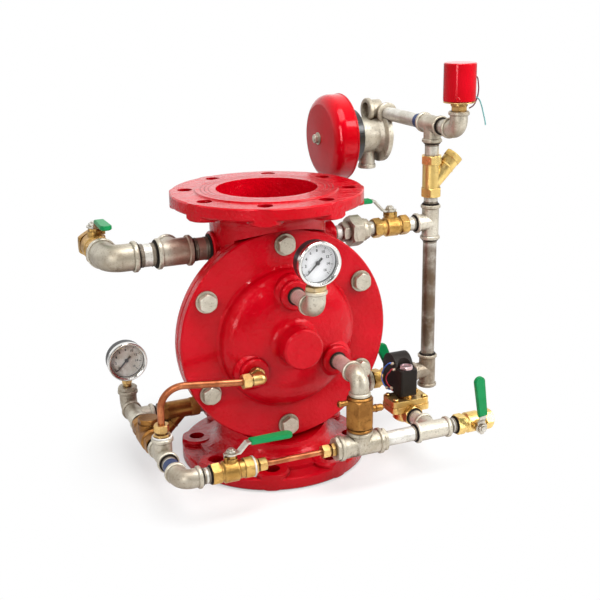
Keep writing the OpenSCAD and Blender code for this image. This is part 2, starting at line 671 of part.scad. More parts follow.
// Union with its big nut, and the coupling of the side run
module pipe_union() color(GALVANISED) {
    along([0, 0, upper_z], RIGHT) {
        mid = union_start_x + 18;
        difference() {
            union() {
                hex_nut(union_start_x, union_start_x + 10, 28);
                rod(union_start_x + 9, mid + 4, 14.2);
                chamfered(mid - 3, mid + 4, 17.5, 1);
            }
            rod(union_start_x - 1, mid + 5, bore_r(small));
            rod(union_start_x - 1, union_start_x + thread_len, pipe_r(small) + thread_gap);
        }
        difference() {
            union() {
                chamfered(mid + 4, mid + 22, 17.5, 1);
                hex_nut(union_end_x - 17, union_end_x, 29);
            }
            rod(mid, union_end_x + 1, bore_r(small));
            rod(union_end_x - thread_len, union_end_x + 1, pipe_r(small) + thread_gap);
        }
        difference() {
            hex_nut(mid - 6, mid + 13, 43);
            rod(mid - 7, mid + 14, 17.5 + thread_gap);
        }
        ring(mid - 6, mid - 3.05, 17.5, 14.2 + thread_gap);
    }
    along([0, 0, riser_foot_z], RIGHT) difference() {
        union() {
            rod(coupling_start_x + 1, coupling_end_x - 1, 15);
            chamfered(coupling_start_x, coupling_start_x + 8, 18.5, 1.5);
            chamfered(coupling_end_x - 8, coupling_end_x, 18.5, 1.5);
        }
        rod(coupling_start_x - 1, coupling_end_x + 1, bore_r(small));
        for (x = [coupling_start_x, coupling_end_x])
            rod(x - thread_len, x + thread_len, pipe_r(small) + thread_gap);
    }
}

// Copper tubes with their compression joints
tube_r = 5;
thin_tube_r = 4;
tube_wall = 1;
tube_bend_r = 35;
joint_len = 20;
tube_fit_x = -port_x;
tube_fit_y = -port_front - 19;
tube_corner_x = tube_fit_x - 30;
tube_dx = left_x + tube_corner_x;
tube_dy = -tube_fit_y - tube_tee_front;
tube_turn = atan(tube_dy / tube_dx);
tube_corner = tube_bend_r * tan(tube_turn / 2);
// A bend that starts along local +Z and turns toward local +X
module tube_bend(angle, r) place([tube_bend_r, 0, 0], BACK, LEFT) rotate_extrude(angle = angle)
    translate([tube_bend_r, 0]) circle(r = r);
module tube_route(r) {
    straight = norm([tube_dx, tube_dy]) - tube_corner - tube_bend_r;
    place([-left_x, -tube_tee_front, port_z - tube_bend_r], UP,
          [cos(tube_turn), -sin(tube_turn), 0]) {
        rod(run_z + fit_reach + 4 - port_z + tube_bend_r, 0, r);
        tube_bend(90, r);
        place([tube_bend_r, 0, tube_bend_r], RIGHT, BACK) {
            rod(0, straight, r);
            translate([0, 0, straight]) {
                tube_bend(tube_turn, r);
                translate([tube_bend_r * (1 - cos(tube_turn)), 0, tube_bend_r * sin(tube_turn)])
                    rotate([0, tube_turn, 0])
                        rod(0, tube_fit_x - 12 - tube_corner_x - tube_corner, r);
            }
        }
    }
}
module copper_tubes() color(COPPER) {
    difference() {
        tube_route(tube_r);
        tube_route(tube_r - tube_wall);
    }
    along([0, front_y, run_z], RIGHT)
        ring(front_valve_x + valve_len / 2 + 4, tee_x - middle_reach - tee_bush_h - 4,
             thin_tube_r, thin_tube_r - tube_wall);
}
// Screwed body and hexagon nut of a compression joint that starts at a fitting's face
module tube_joint(g, face, r) {
    difference() {
        union() {
            rod(face - screwed(g), face, pipe_r(g));
            hex_nut(face, face + 6, max(18, 2 * pipe_r(g)));
        }
        rod(face - screwed(g) - 1, face + 7, r - tube_wall);
        rod(face + 4, face + 7, r + thread_gap);
    }
    tube_nut(face + 6 + seam, face + joint_len, r);
}
module tube_nut(z0, z1, r) difference() {
    union() {
        rod(z0, z0 + 3, r + 2.2);
        hex_nut(z0 + 3, z1, 2 * r + 9.5);
    }
    rod(z0 - 1, z1 + 1, r + thread_gap);
}
module compression_fittings() color(BRASS) {
    along([-left_x, -tube_tee_front, run_z], UP) tube_joint(small, fit_reach, tube_r);
    along([front_valve_x, front_y, run_z], RIGHT)
        tube_joint(small, valve_len / 2, thin_tube_r);
    along([tee_x, front_y, run_z], LEFT)
        tube_joint(tube_thread, middle_reach + tee_bush_h, thin_tube_r);
    // Elbow body in the cover's left boss
    difference() {
        union() {
            along([tube_fit_x, 0, port_z], FRONT) {
                rod(port_front - thread_len, port_front, pipe_r(small));
                hex_nut(port_front, port_front + 8, 21);
                rod(port_front + 7, -tube_fit_y, 8.5);
            }
            translate([tube_fit_x, tube_fit_y, port_z]) sphere(r = 8.5);
            along([tube_fit_x, tube_fit_y, port_z], LEFT) rod(0, 13, 8.5);
        }
        along([tube_fit_x, 0, port_z], FRONT) rod(port_front - 20, -tube_fit_y, tube_r - tube_wall);
        along([tube_fit_x, tube_fit_y, port_z], LEFT) {
            rod(-eps, 14, tube_r - tube_wall);
            rod(12, 14, tube_r + thread_gap);
        }
    }
    along([tube_fit_x, tube_fit_y, port_z], LEFT) tube_nut(13 + seam, 28, tube_r);
}

// Gauges: local z = 0 is the case's front rim, local +Y is up
gauge_r = gauge_d / 2 - 1.5;
gauge_depth = 24;
gauge_in_r = gauge_r - 2.3;
dial_z = -8;
supply_gauge_rise = 78.5;
needle_rest = 225;
module at_cover_gauge() place([0, cover_elbow_y - gauge_depth / 2, gauge_port_z + gauge_rise],
                              FRONT, RIGHT) children();
module at_supply_gauge() place([-left_x, gauge_elbow_back - gauge_depth / 2,
                                run_z + supply_gauge_rise], FRONT, RIGHT) children();
module gauge_case() {
    difference() {
        union() {
            rotate_extrude() polygon([[0, -gauge_depth], [gauge_r - 4, -gauge_depth],
                                      [gauge_r, 4 - gauge_depth], [gauge_r, 0], [0, 0]]);
            translate([0, 0, -gauge_depth / 2]) along([0, 0, 0], FRONT) rod(20, gauge_r + 1, 7);
        }
        rod(dial_z - 1, 1, gauge_in_r);
        rod(3 - gauge_depth, dial_z, gauge_in_r - 2);
    }
    ring(3 - gauge_depth - eps, dial_z - 1.5, 6, 1.5 + run_gap);
    ring(-4, 2, gauge_d / 2, gauge_r + seam);
    rotate_extrude() polygon([[gauge_r - 3, 2], [gauge_d / 2, 2], [gauge_d / 2, 3],
                              [gauge_d / 2 - 1.2, 4.2], [gauge_r - 1.5, 4.2],
                              [gauge_r - 3, 3]]);
}
module gauge_needle() rotate(needle_rest) {
    rod(4 - gauge_depth, -4.5, 1.5);
    rod(-5.8, -4, 3);
    translate([0, 0, -5.4]) linear_extrude(0.8)
        polygon([[-9, -1.6], [-9, 1.6], [0, 1.4], [gauge_in_r - 5, 0.4], [gauge_in_r - 5, -0.4],
                 [0, -1.4]]);
}
module gauge_stem(rise) along([0, 0, 0], UP) difference() {
    top = rise - gauge_r - 1;
    union() {
        rod(fit_reach + 6 - 9, top, 6.5);
        hex_nut(max(fit_reach + 6, top - 9), top, 14);
    }
    rod(fit_reach - 4, top + 1, 2);
}
module cover_gauge_case() color(BLACK) at_cover_gauge() gauge_case();
module supply_gauge_case() color(BLACK) at_supply_gauge() gauge_case();
module cover_gauge_needle() color(BLACK) at_cover_gauge() gauge_needle();
module supply_gauge_needle() color(BLACK) at_supply_gauge() gauge_needle();
module gauge_dials() color("white") {
    at_cover_gauge() ring(dial_z - 1, dial_z, gauge_in_r - 0.1, 2);
    at_supply_gauge() ring(dial_z - 1, dial_z, gauge_in_r - 0.1, 2);
}
module gauge_lenses() color([0.8, 0.9, 1, 0.4]) {
    at_cover_gauge() rod(0, 2, gauge_r - 0.1);
    at_supply_gauge() rod(0, 2, gauge_r - 0.1);
}
module gauge_stems() color(BRASS) {
    translate([0, cover_elbow_y, gauge_port_z]) gauge_stem(gauge_rise);
    translate([-left_x, gauge_elbow_back, run_z]) gauge_stem(supply_gauge_rise);
}

// Y strainers: run along local Z, leg at 45 degrees between +Z and +X
strainer_r = 14;
leg_wall = 2.6;
cap_h = 9;
screen_t = 0.8;
riser_leg = [-12, 50, 13.5];
supply_leg = [-8, 42, 11];
module at_leg(leg) translate([0, 0, leg[0]]) rotate([0, 45, 0]) children();
module at_riser_strainer() place([riser_x, 0, riser_strainer_z], UP, RIGHT) children();
module at_supply_strainer()
    place([supply_strainer_x, strainer_tee_back, run_z], LEFT, DOWN) children();
module strainer_body(leg, flats) {
    difference() {
        union() {
            for (s = [UP, DOWN]) along([0, 0, 0], s)
                hex_nut(strainer_len / 2 - 14, strainer_len / 2, flats);
            rod(2 - strainer_len / 2, strainer_len / 2 - 2, strainer_r);
            at_leg(leg) {
                rod(0, leg[1] - 1, leg[2]);
                chamfered(leg[1] - 16, leg[1] - 13, leg[2] + 0.8, 0.8);
            }
        }
        for (s = [UP, DOWN]) along([0, 0, 0], s) socket(small, strainer_len / 2);
        at_leg(leg) rod(-4, leg[1] + 1, leg[2] - leg_wall);
    }
    at_leg(leg) {
        hex_nut(leg[1] - 1 + seam, leg[1] + cap_h, 2 * leg[2] + 1);
        rod(leg[1] - 10, leg[1], leg[2] - leg_wall - thread_gap);
    }
}
module riser_strainer_body() color(BRASS) at_riser_strainer() strainer_body(riser_leg, 30);
module supply_strainer_body() color(BRASS) at_supply_strainer() strainer_body(supply_leg, 28);
module strainer_screen(leg) at_leg(leg) difference() {
    screen_r = leg[2] - leg_wall - 0.6;
    ring(6, leg[1] - 10, screen_r, screen_r - screen_t);
    for (z = [12 : 8 : leg[1] - 16], a = [0 : 60 : 300]) rotate(a)
        along([0, 0, z], RIGHT) rod(screen_r - 2.5, screen_r + 2, 2);
}
module strainer_screens() color(STEEL) {
    at_riser_strainer() strainer_screen(riser_leg);
    at_supply_strainer() strainer_screen(supply_leg);
}

// Swing check valve on the left run: flow goes along local +Z, the cap faces local +X
check_len = check_back_y - check_front_y;
flap_r = 9.8;
flap_t = 2.4;
pivot_x = 12.5;
pivot_z = -5;
pivot_r = 1.6;
chamber_z0 = -9;
chamber_z1 = 22;
bonnet_x = 25;
module at_check_valve()
    place([-left_x, (check_front_y + check_back_y) / 2, run_z], FRONT, UP) children();
module check_valve_body() color(BRONZE) at_check_valve() {
    difference() {
        union() {
            for (s = [UP, DOWN]) along([0, 0, 0], s)
                hex_nut(check_len / 2 - 15, check_len / 2, 30);
            rod(2 - check_len / 2, check_len / 2 - 2, 15.2);
            chamfered(chamber_z0 - 5, chamber_z1 + 5, 18, 5);
            along([0, 0, 2], RIGHT) rod(0, bonnet_x - 4, 16);
        }
        for (s = [UP, DOWN]) along([0, 0, 0], s) socket(small, check_len / 2);
        rod(chamber_z0, chamber_z1, 14);
        intersection() {
            along([0, 0, 2], RIGHT) rod(0, bonnet_x, 11);
            rod(chamber_z0, chamber_z1, 40);
        }
        along([pivot_x, 0, pivot_z], BACK) rod(-13, 13, pivot_r + run_gap);
    }
    along([0, 0, 2], RIGHT) {
        hex_nut(bonnet_x - 4 + seam, bonnet_x + 4, 28);
        rod(bonnet_x - 8, bonnet_x - 3, 11 - 0.3);
    }
}
module check_valve_flap() color(BRONZE) at_check_valve() {
    rod(chamber_z0, chamber_z0 + flap_t, flap_r);
    translate([0, -3, chamber_z0 + flap_t - eps]) cube([pivot_x, 6, 1.4]);
    along([pivot_x, 0, pivot_z], BACK) {
        rod(-12.6, 12.6, pivot_r);
        rod(-4, 4, pivot_r + 1.2);
    }
}

// Relief body between the front tee and the cover's right boss
relief_chamber_r = 9;
relief_seat_z = relief_bottom_z + 12;
relief_lift = 5;
piston_h = 12;
module relief_body() color(BRONZE) along([tee_x, front_y, 0], UP) difference() {
    union() {
        rod(relief_bottom_z - screwed(middle), relief_bottom_z, pipe_r(middle));
        chamfered(relief_bottom_z, relief_bottom_z + 5, 19, 1.5);
        hex_nut(relief_bottom_z + 6.5, relief_top_z - 4, 37);
        chamfered(relief_bottom_z + 4, relief_top_z, 17.8, 2);
        rod(relief_top_z, relief_top_z + thread_len, pipe_r(small));
        along([0, 0, relief_top_z - 8], LEFT) {
            rod(10, 34, 4);
            chamfered(29, 34, 4.8, 1);
        }
        along([0, 0, relief_top_z - 24], RIGHT) {
            rod(10, 33, 5.2);
            translate([0, 0, 33]) sphere(r = 5.2);
            chamfered(24, 27, 5.9, 0.7);
        }
    }
    rod(relief_bottom_z - screwed(middle) - 1, relief_top_z + thread_len + 1, 5);
    rod(relief_seat_z, relief_seat_z + piston_h + relief_lift + 2, relief_chamber_r);
    along([0, 0, relief_top_z - 8], LEFT) rod(0, 35, 2);
}
module relief_piston() color(STEEL) along([tee_x, front_y, 0], UP)
    difference() {
        chamfered(relief_seat_z, relief_seat_z + piston_h, relief_chamber_r - run_gap, 0.8);
        rod(relief_seat_z + 4, relief_seat_z + piston_h + 1, 5);
    }

// Solenoid valve behind the second front tee
solenoid_len = 56;
solenoid_y = solenoid_front_y + solenoid_len / 2;
bonnet_z = run_z + 14;
bonnet_t = 10;
bonnet_top = bonnet_z + bonnet_t;
coil_z = bonnet_top + 3.5;
coil_h = 41;
coil_w = 29;
coil_front = 11;
coil_back = 7;
core_r = 7;
plunger_r = 4.8;
plunger_lift = 6;
// Terminal housing behind the coil: a flat box with a round top
housing_r = 22;
housing_y = 26;
housing_rise = 37;
module at_solenoid() translate([drain_tee_x, solenoid_y, 0]) children();
module bonnet_corners() for (x = [-24, 24], y = [-13, 13]) translate([x, y, 0]) children();
// The outline that the body and its bonnet share, with a lobe at each screw
module lobed(z0, z1, inset) {
    bonnet_corners() rod(z0, z1, 8 - inset);
    translate([inset - 32, -13, z0]) cube([64 - 2 * inset, 26, z1 - z0]);
    translate([-24, inset - 21, z0]) cube([48, 42 - 2 * inset, z1 - z0]);
}
module solenoid_body() color(BRASS) at_solenoid() {
    difference() {
        union() {
            along([0, 0, run_z], BACK) for (s = [UP, DOWN]) along([0, 0, 0], s) {
                hex_nut(solenoid_len / 2 - 12, solenoid_len / 2, 28);
                rod(0, solenoid_len / 2 - 10, 14.5);
            }
            chamfered(run_z - 13, bonnet_z - 5, 20, 3);
            lobed(bonnet_z - 9, bonnet_z, 0);
            lobed(bonnet_z - 0.5, bonnet_top, 1);
            rod(bonnet_top - 1, coil_z, 11);
            rod(coil_z - 1, coil_z + coil_h + 4, core_r);
        }
        along([0, 0, run_z], BACK) for (s = [UP, DOWN]) along([0, 0, 0], s) {
            rod(solenoid_len / 2 - thread_len, solenoid_len / 2 + 1, pipe_r(small) + thread_gap);
        }
        // Inlet round the seat, outlet under it, and the plunger's tube
        along([0, 0, run_z + 4], FRONT) rod(8, 16, 3.5);
        ring(run_z, run_z + 11.5, 11.5, 7);
        rod(run_z + 11, run_z + 14.5 + plunger_lift, 8);
        along([0, 0, run_z - 5], BACK) rod(0, 16, 3.5);
        rod(run_z - 6, run_z + 12, 4.5);
        rod(bonnet_z - 3, coil_z + coil_h, plunger_r + free_gap);
        bonnet_corners() rod(bonnet_z - 7, bonnet_top + 1, 2.3);
    }
    bonnet_corners() {
        rod(bonnet_z - 7 + seam, bonnet_top + 1, 2.2);
        chamfered(bonnet_top + seam, bonnet_top + 3.4, 4, 0.8);
    }
    // Nut that holds the coil on its tube
    difference() {
        hex_nut(coil_z + coil_h + seam, coil_z + coil_h + 5, 19);
        rod(coil_z + coil_h - 1, coil_z + coil_h + 6, core_r + thread_gap);
    }
}
module solenoid_coil() color(BLACK) at_solenoid() difference() {
    union() {
        for (x = [-1, 1]) translate([x * (coil_w / 2 - 4), 4 - coil_front, 0])
            rod(coil_z, coil_z + coil_h, 4);
        translate([-coil_w / 2, 4 - coil_front, coil_z])
            cube([coil_w, coil_front + coil_back - 4, coil_h]);
        translate([4 - coil_w / 2, -coil_front, coil_z]) cube([coil_w - 8, coil_front, coil_h]);
        translate([-coil_w / 2, housing_y - housing_r, coil_z])
            cube([coil_w, 2 * housing_r, housing_rise]);
        along([-coil_w / 2, housing_y, coil_z + housing_rise], RIGHT) rod(0, coil_w, housing_r);
    }
    rod(coil_z - 1, coil_z + coil_h + 1, core_r + thread_gap);
    rod(coil_z + coil_h, coil_z + coil_h + housing_r, 12.5);
}
module solenoid_plunger() color(STEEL) at_solenoid() {
    chamfered(run_z + 11.3, run_z + 13.8, 7, 0.5);
    rod(run_z + 13, coil_z + coil_h - plunger_lift - 4, plunger_r);
}
lead_r = 1;
solenoid_red_route = [[168.4, -89, 139], [164, -89, 140], [162, -84, 134], [162, -75, 125],
                      [162, -73, 117], [163, -78, 111], [163, -86, 109], [163, -92, 106]];
solenoid_blue_route = [[168.4, -84, 147], [163, -83, 148], [160, -76, 142], [160, -66, 130],
                       [160, -62, 118], [161, -66, 109], [162, -74, 105], [163, -82, 104]];
module solenoid_lead_red() color("red") swept(route(solenoid_red_route), lead_r, BACK);
module solenoid_lead_blue() color("blue") swept(route(solenoid_blue_route), lead_r, BACK);

// Pressure switch on the top elbow
switch_base_z = 43;
switch_travel = 3;
switch_wall = 2;
module at_switch() translate([riser_x, switch_elbow_y, riser_top_z]) children();
module switch_base() color(BRASS) at_switch() difference() {
    union() {
        rod(fit_reach - thread_len, fit_reach, pipe_r(small));
        hex_nut(fit_reach, switch_base_z - 7, 22);
        chamfered(switch_base_z - 8, switch_base_z - 2, 12.5, 1);
        chamfered(switch_base_z - 2.5, switch_base_z - 0.5, switch_d / 2 - 0.3, 0.5);
        rod(switch_base_z - 1, switch_base_z + 7, switch_d / 2 - switch_wall - 0.1);
        // Micro switch on its post
        translate([6, -8, switch_base_z + 6]) cube([8, 16, 14]);
        translate([-8, -8, switch_base_z + 18]) cube([22, 16, 20]);
    }
    rod(fit_reach - thread_len - 1, switch_base_z - 12, bore_r(small));
    rod(fit_reach, switch_base_z + 8, 3 + run_gap);
}
module switch_plunger() color(STEEL) at_switch() {
    rod(switch_base_z - 9, switch_base_z + 14, 3);
    rod(switch_base_z - 17, switch_base_z - 8, 2);
    chamfered(switch_base_z - 19, switch_base_z - 16.5, bore_r(small) - 1, 0.3);
}
module switch_cap() color(RED) at_switch() difference() {
    union() {
        chamfered(switch_base_z - 0.5, switch_base_z + switch_h - 1, switch_d / 2, 1.2);
        // Grommet of the leads, and the cover's screw
        for (g = grommets) rotate(g[0]) along([0, 0, switch_base_z + g[1]], RIGHT)
            rod(switch_d / 2 - 3, switch_d / 2 + 1.2, g[2]);
        rotate(-127.5) along([0, 0, switch_base_z + 4], RIGHT)
            chamfered(switch_d / 2 - 3, switch_d / 2 + 1.6, 3.6, 0.6);
    }
    rod(switch_base_z - 1, switch_base_z + switch_h - 4, switch_d / 2 - switch_wall);
}
// Turn, height and radius of each grommet
grommets = [[0, 35, 3.4], [-9.5, 5.5, 2.2]];
switch_red_route = [[302.3, -76, 573], [306, -76, 571], [308, -77, 562], [308, -78, 550],
                    [305, -78, 538], [300, -78, 530], [294, -76, 526]];
switch_green_route = [[302.1, -80.2, 543], [308, -80, 539], [313, -80, 529], [317, -80, 516],
                      [320, -80, 506], [321, -80, 500]];
module switch_lead_red() color("darkred") swept(route(switch_red_route), lead_r, BACK);
module switch_lead_green() color("teal") swept(route(switch_green_route), lead_r, BACK);

// Water motor and gong: local z = 0 is the riser's plane, local -Z leads to the gong
gong_front = -117;
gong_wall = 3.2;
gong_rim = gong_front + gong_depth;
motor_front = -51;
wheel_r = 24;
shaft_r = 4;
sleeve_r = 8;
striker_z = gong_rim - 17;
module at_motor() place([riser_x, motor_back, motor_shaft_z], RIGHT, UP) children();
gong_shoulder = 18;
gong_crown = 3;
module gong_profile(r, front, shoulder) rotate_extrude() polygon(concat(
    [[0, front], [14, front], [r - shoulder, front + gong_crown]],
    [for (t = [10 : 10 : 90])
        [r - shoulder * (1 - sin(t)), front + gong_crown + shoulder * (1 - cos(t))]],
    [[r, gong_rim], [0, gong_rim]]));
module gong() color(RED) at_motor() difference() {
    union() {
        gong_profile(gong_d / 2 - 1, gong_front, gong_shoulder);
        chamfered(gong_rim - 4, gong_rim, gong_d / 2, 1.5);
    }
    difference() {
        gong_profile(gong_d / 2 - 1 - gong_wall, gong_front + gong_wall, gong_shoulder - gong_wall);
        rod(gong_front, gong_front + gong_wall + 3, 12);
    }
    rod(gong_rim - 1, gong_rim + 1, gong_d / 2 - 1 - gong_wall);
    rod(gong_front - 1, gong_front + 10, shaft_r + thread_gap);
}
module gong_spindle() color(STEEL) at_motor() {
    rod(gong_front - 9, -1, shaft_r);
    ring(gong_front - 1.5 + seam, gong_front, 10, shaft_r + thread_gap);
    difference() {
        hex_nut(gong_front - 8, gong_front - 1.5, 13);
        rod(gong_front - 9, gong_front, shaft_r + thread_gap);
    }
    difference() {
        hex_nut(gong_front + gong_wall + 3, gong_front + gong_wall + 9, 13);
        rod(gong_front, gong_front + gong_wall + 10, shaft_r + thread_gap);
    }
}
module motor_rotor() color(BRASS) at_motor() {
    difference() {
        union() {
            rod(striker_z - 6, -8, sleeve_r);
            rod(-22, -10, 15);
            for (a = [0 : 30 : 330]) rotate(a) translate([13, -0.8, -21]) cube([wheel_r - 13, 1.6, 10]);
            // Striker arm and hammer inside the gong
            rod(striker_z - 6, striker_z + 4, 11);
            translate([14 - gong_d / 2, -4, striker_z - 4]) cube([gong_d / 2 - 14, 8, 6]);
            translate([13 - gong_d / 2, 0, 0]) chamfered(striker_z - 7, striker_z + 7, 6, 1);
        }
        rod(striker_z - 7, -7, shaft_r + run_gap);
    }
}
module motor_flange() color(BLACK) at_motor() difference() {
    union() {
        chamfered(motor_front - 14, motor_front, 44, 1.5);
        rod(motor_front - 19, motor_front - 13, 18);
    }
    rod(motor_front - 20, motor_front + 1, sleeve_r + run_gap);
}
module motor_housing() color(GALVANISED) difference() {
    union() {
        at_motor() rotate_extrude() polygon([[0, motor_front], [33, motor_front],
            [33, motor_front + 5], [30, motor_front + 7], [30, -16], [34, -10], [45, -9],
            [46, -8], [46, -1], [45, 0], [0, 0]]);
        along([riser_x, 0, riser_top_z], BACK) {
            rod(motor_inlet_y, motor_back + 10, body_r(small) + 1);
            chamfered(motor_inlet_y, motor_inlet_y + 8, 18, 1.4);
        }
        // Blank port above the drum
        at_motor() translate([41, 0, 0]) {
            rod(-27, -5, 17);
            chamfered(-30, -22, 20, 1.5);
        }
        along([riser_x - 27, motor_back, motor_shaft_z], DOWN) {
            rod(20, 53, 13.5);
            chamfered(49, 56, 15, 1);
        }
    }
    at_motor() {
        rod(motor_front - 1, -6, wheel_r + 2);
        rod(-7, 1, shaft_r + thread_gap);
        translate([41, 0, 0]) rod(-31, -22, 13);
    }
    along([riser_x, 0, riser_top_z], BACK) {
        rod(motor_inlet_y - 1, motor_inlet_y + thread_len, pipe_r(small) + thread_gap);
        rod(motor_inlet_y - 24, motor_inlet_y, pipe_r(small) + 0.6);
        rod(motor_inlet_y - 1, motor_back - 2, bore_r(small));
    }
    // Jet that drives the wheel
    place([riser_x - 4, motor_back - 6, riser_top_z - 4], [-0.6, 0, -0.8], BACK) rod(0, 26, 3);
    along([riser_x - 27, motor_back, motor_shaft_z], DOWN) rod(15, 57, 10.5);
}
module motor_end_cover() color(GALVANISED) at_motor() {
    chamfered(0, 6, 17, 1.5);
    for (a = [90, 210, 330]) rotate(a) translate([12, 0, 0]) chamfered(6, 9, 3, 0.5);
}

// Ball valves: local X is the flow, local Z the stem, and the lever lies along +X when open
lever_turn = 90;
// Turn between the lever's tab and the stop it meets
stop_turn = 23;
seat_gap = 0.35;
function barrel_r(k) = (ball_r + 4.2) * k;
function lever_z(k) = lever_h + (k - 1) * 22;
module valve_housing(g, len, k, swing, lean = 0) {
    difference() {
        union() {
            for (s = [LEFT, RIGHT]) along([0, 0, 0], s) {
                hex_nut(len / 2 - 13, len / 2, 2 * pipe_r(g) + 6);
                rod(0, len / 2 - 11, barrel_r(k) - 2.5);
            }
            along([0, 0, 0], RIGHT) chamfered(-len / 2 + 16, len / 2 - 20, barrel_r(k), 2.5);
            rod(0, lever_z(k) - 8, 8.5 * k);
            hexagon(lever_z(k) - 9, lever_z(k) - lever_t - 1, 13.4 * k);
            // Two stops for the lever's tab
            for (a = [180 - stop_turn * swing,
                       180 + (lever_turn + lean + stop_turn) * swing]) rotate(a)
                translate([5 * k, -1.5, lever_z(k) - 13]) cube([6.6 * k, 3, 9]);
        }
        for (s = [LEFT, RIGHT]) along([0, 0, 0], s) socket(g, len / 2);
        sphere(r = ball_r * k + seat_gap);
        rod(0, lever_z(k) + 1, 4 * k + run_gap);
    }
}
module valve_handle(k, arm, rise, turn) rotate(turn) {
    top = lever_z(k);
    start = 12 * k;
    end = start + rise * 0.9 + 1;
    difference() {
        union() {
            sphere(r = ball_r * k);
            rod(0, top + 6, 4 * k);
        }
        along([0, 0, 0], RIGHT) rod(-20 * k, 20 * k, ball_bore / 2 * k);
    }
    difference() {
        union() {
            rod(top - lever_t, top, 9 * k);
            place([0, lever_w / 2, 0], FRONT, RIGHT) linear_extrude(lever_w)
                polygon([[0, top - lever_t], [start, top - lever_t], [end, top - lever_t + rise],
                         [arm, top - lever_t + rise], [arm, top + rise],
                         [end - lever_t / 2, top + rise], [start - lever_t / 2, top], [0, top]]);
            // Tab that meets the stops
            translate([-10.4 * k, -1.5, top - lever_t - 4]) cube([2.4 * k, 3, 5]);
            translate([-10.4 * k, -2.5, top - lever_t]) cube([4 * k, 5, lever_t]);
        }
        rod(top - lever_t - 1, top + 1, 4 * k + thread_gap);
    }
    difference() {
        hex_nut(top + seam, top + 4, 12 * k);
        rod(top - 1, top + 5, 4 * k + thread_gap);
    }
}
grip_w = 17;
grip_neck_w = 14.4;
grip_t = 6.6;
module grip_outline(from, to, inset) {
    tip_r = grip_w / 2 - inset;
    neck = grip_neck_w / 2 - inset;
    polygon(concat([[from + inset, -neck]],
        [for (t = [-80 : 16 : 80]) [to - grip_w / 2 + tip_r * cos(t), tip_r * sin(t)]],
        [[from + inset, neck]]));
}
// Vinyl sleeve on the lever's arm, wider at its round end
module valve_sleeve(k, arm, rise, turn) rotate(turn) {
    mid = lever_z(k) - lever_t / 2 + rise;
    from = 12 * k + rise * 0.9 + 5;
    difference() {
        for (layer = [[grip_t, 1.5], [grip_t - 1, 0.6], [grip_t - 2.4, 0]])
            translate([0, 0, mid - layer[0] / 2]) linear_extrude(layer[0])
                grip_outline(from, arm + 4, layer[1]);
        translate([from - 1, -lever_w / 2 - 0.05, mid - lever_t / 2 - 0.05])
            cube([arm - from + 1.05, lever_w + 0.1, lever_t + 0.1]);
    }
}
module at_test_valve() place([-test_elbow_x, test_valve_y, upper_z], UP, FRONT) children();
module at_alarm_valve() place([alarm_valve_x, 0, upper_z], UP, LEFT) children();
module at_side_valve() place([side_valve_x, 0, riser_foot_z], FRONT, LEFT) children();
module at_front_valve() place([front_valve_x, front_y, run_z], UP, RIGHT) children();
module at_drain_valve() place([drain_valve_x, front_y, run_z], FRONT, RIGHT) children();
test_lever = [80, 14, 0];
alarm_lever = [lever_len, 18, 0];
side_lever = [lever_len - 12, 6, -side_lever_turn];
front_lever = [lever_len, 12, 0];
drain_lean = 8;
drain_lever = [lever_len - 4, 6, 90 + drain_lean];
module test_valve_body() color(BRASS) at_test_valve() valve_housing(large, test_valve_len, large_k, -1);
module alarm_valve_body() color(BRASS) at_alarm_valve() valve_housing(small, valve_len, 1, 1);
module side_valve_body() color(BRASS) at_side_valve() valve_housing(small, valve_len, 1, -1);
module front_valve_body() color(BRASS) at_front_valve() valve_housing(small, valve_len, 1, -1);
module drain_valve_body() color(BRASS) at_drain_valve()
    valve_housing(small, valve_len, 1, 1, drain_lean);
module handle(k, v) color(STEEL) valve_handle(k, v[0], v[1], v[2]);
module sleeve(k, v) color(GREEN) valve_sleeve(k, v[0], v[1], v[2]);
module test_valve_lever() at_test_valve() handle(large_k, test_lever);
module test_valve_grip() at_test_valve() sleeve(large_k, test_lever);
module alarm_valve_lever() at_alarm_valve() handle(1, alarm_lever);
module alarm_valve_grip() at_alarm_valve() sleeve(1, alarm_lever);
module side_valve_lever() at_side_valve() handle(1, side_lever);
module side_valve_grip() at_side_valve() sleeve(1, side_lever);
module front_valve_lever() at_front_valve() handle(1, front_lever);
module front_valve_grip() at_front_valve() sleeve(1, front_lever);
module drain_valve_lever() at_drain_valve() handle(1, drain_lever);
module drain_valve_grip() at_drain_valve() sleeve(1, drain_lever);

valve_body();
seat_ring();
diaphragm();
main_disc();
main_spring();
valve_cover();
cover_bolts();
pipe_nipples();
long_pipes();
pipe_elbows();
pipe_tees();
hex_bushings();
pipe_union();
copper_tubes();
compression_fittings();
cover_gauge_case();
cover_gauge_needle();
supply_gauge_case();
supply_gauge_needle();
gauge_dials();
gauge_lenses();
gauge_stems();
riser_strainer_body();
supply_strainer_body();
strainer_screens();
check_valve_body();
check_valve_flap();
relief_body();
relief_piston();
solenoid_body();
solenoid_coil();
solenoid_plunger();
solenoid_lead_red();
solenoid_lead_blue();
switch_base();
switch_cap();
switch_plunger();
switch_lead_red();
switch_lead_green();
motor_housing();
motor_end_cover();
motor_flange();
motor_rotor();
gong_spindle();
gong();
test_valve_body();
test_valve_lever();
test_valve_grip();
alarm_valve_body();
alarm_valve_lever();
alarm_valve_grip();
side_valve_body();
side_valve_lever();
side_valve_grip();
front_valve_body();
front_valve_lever();
front_valve_grip();
drain_valve_body();
drain_valve_lever();
drain_valve_grip();
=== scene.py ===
# %% [markdown]
# # Dressing a deluge valve
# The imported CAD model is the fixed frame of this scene. It gives every casting, pipe, lever and gauge at
# its real place, in metres, with +Z up the main pipe and the round cover facing -Y. This lesson adds what
# the solids lack: finishes, printed dials, pipe threads with their sealing compound, wires and light.

import math

import bpy
from mathutils import Matrix, Vector


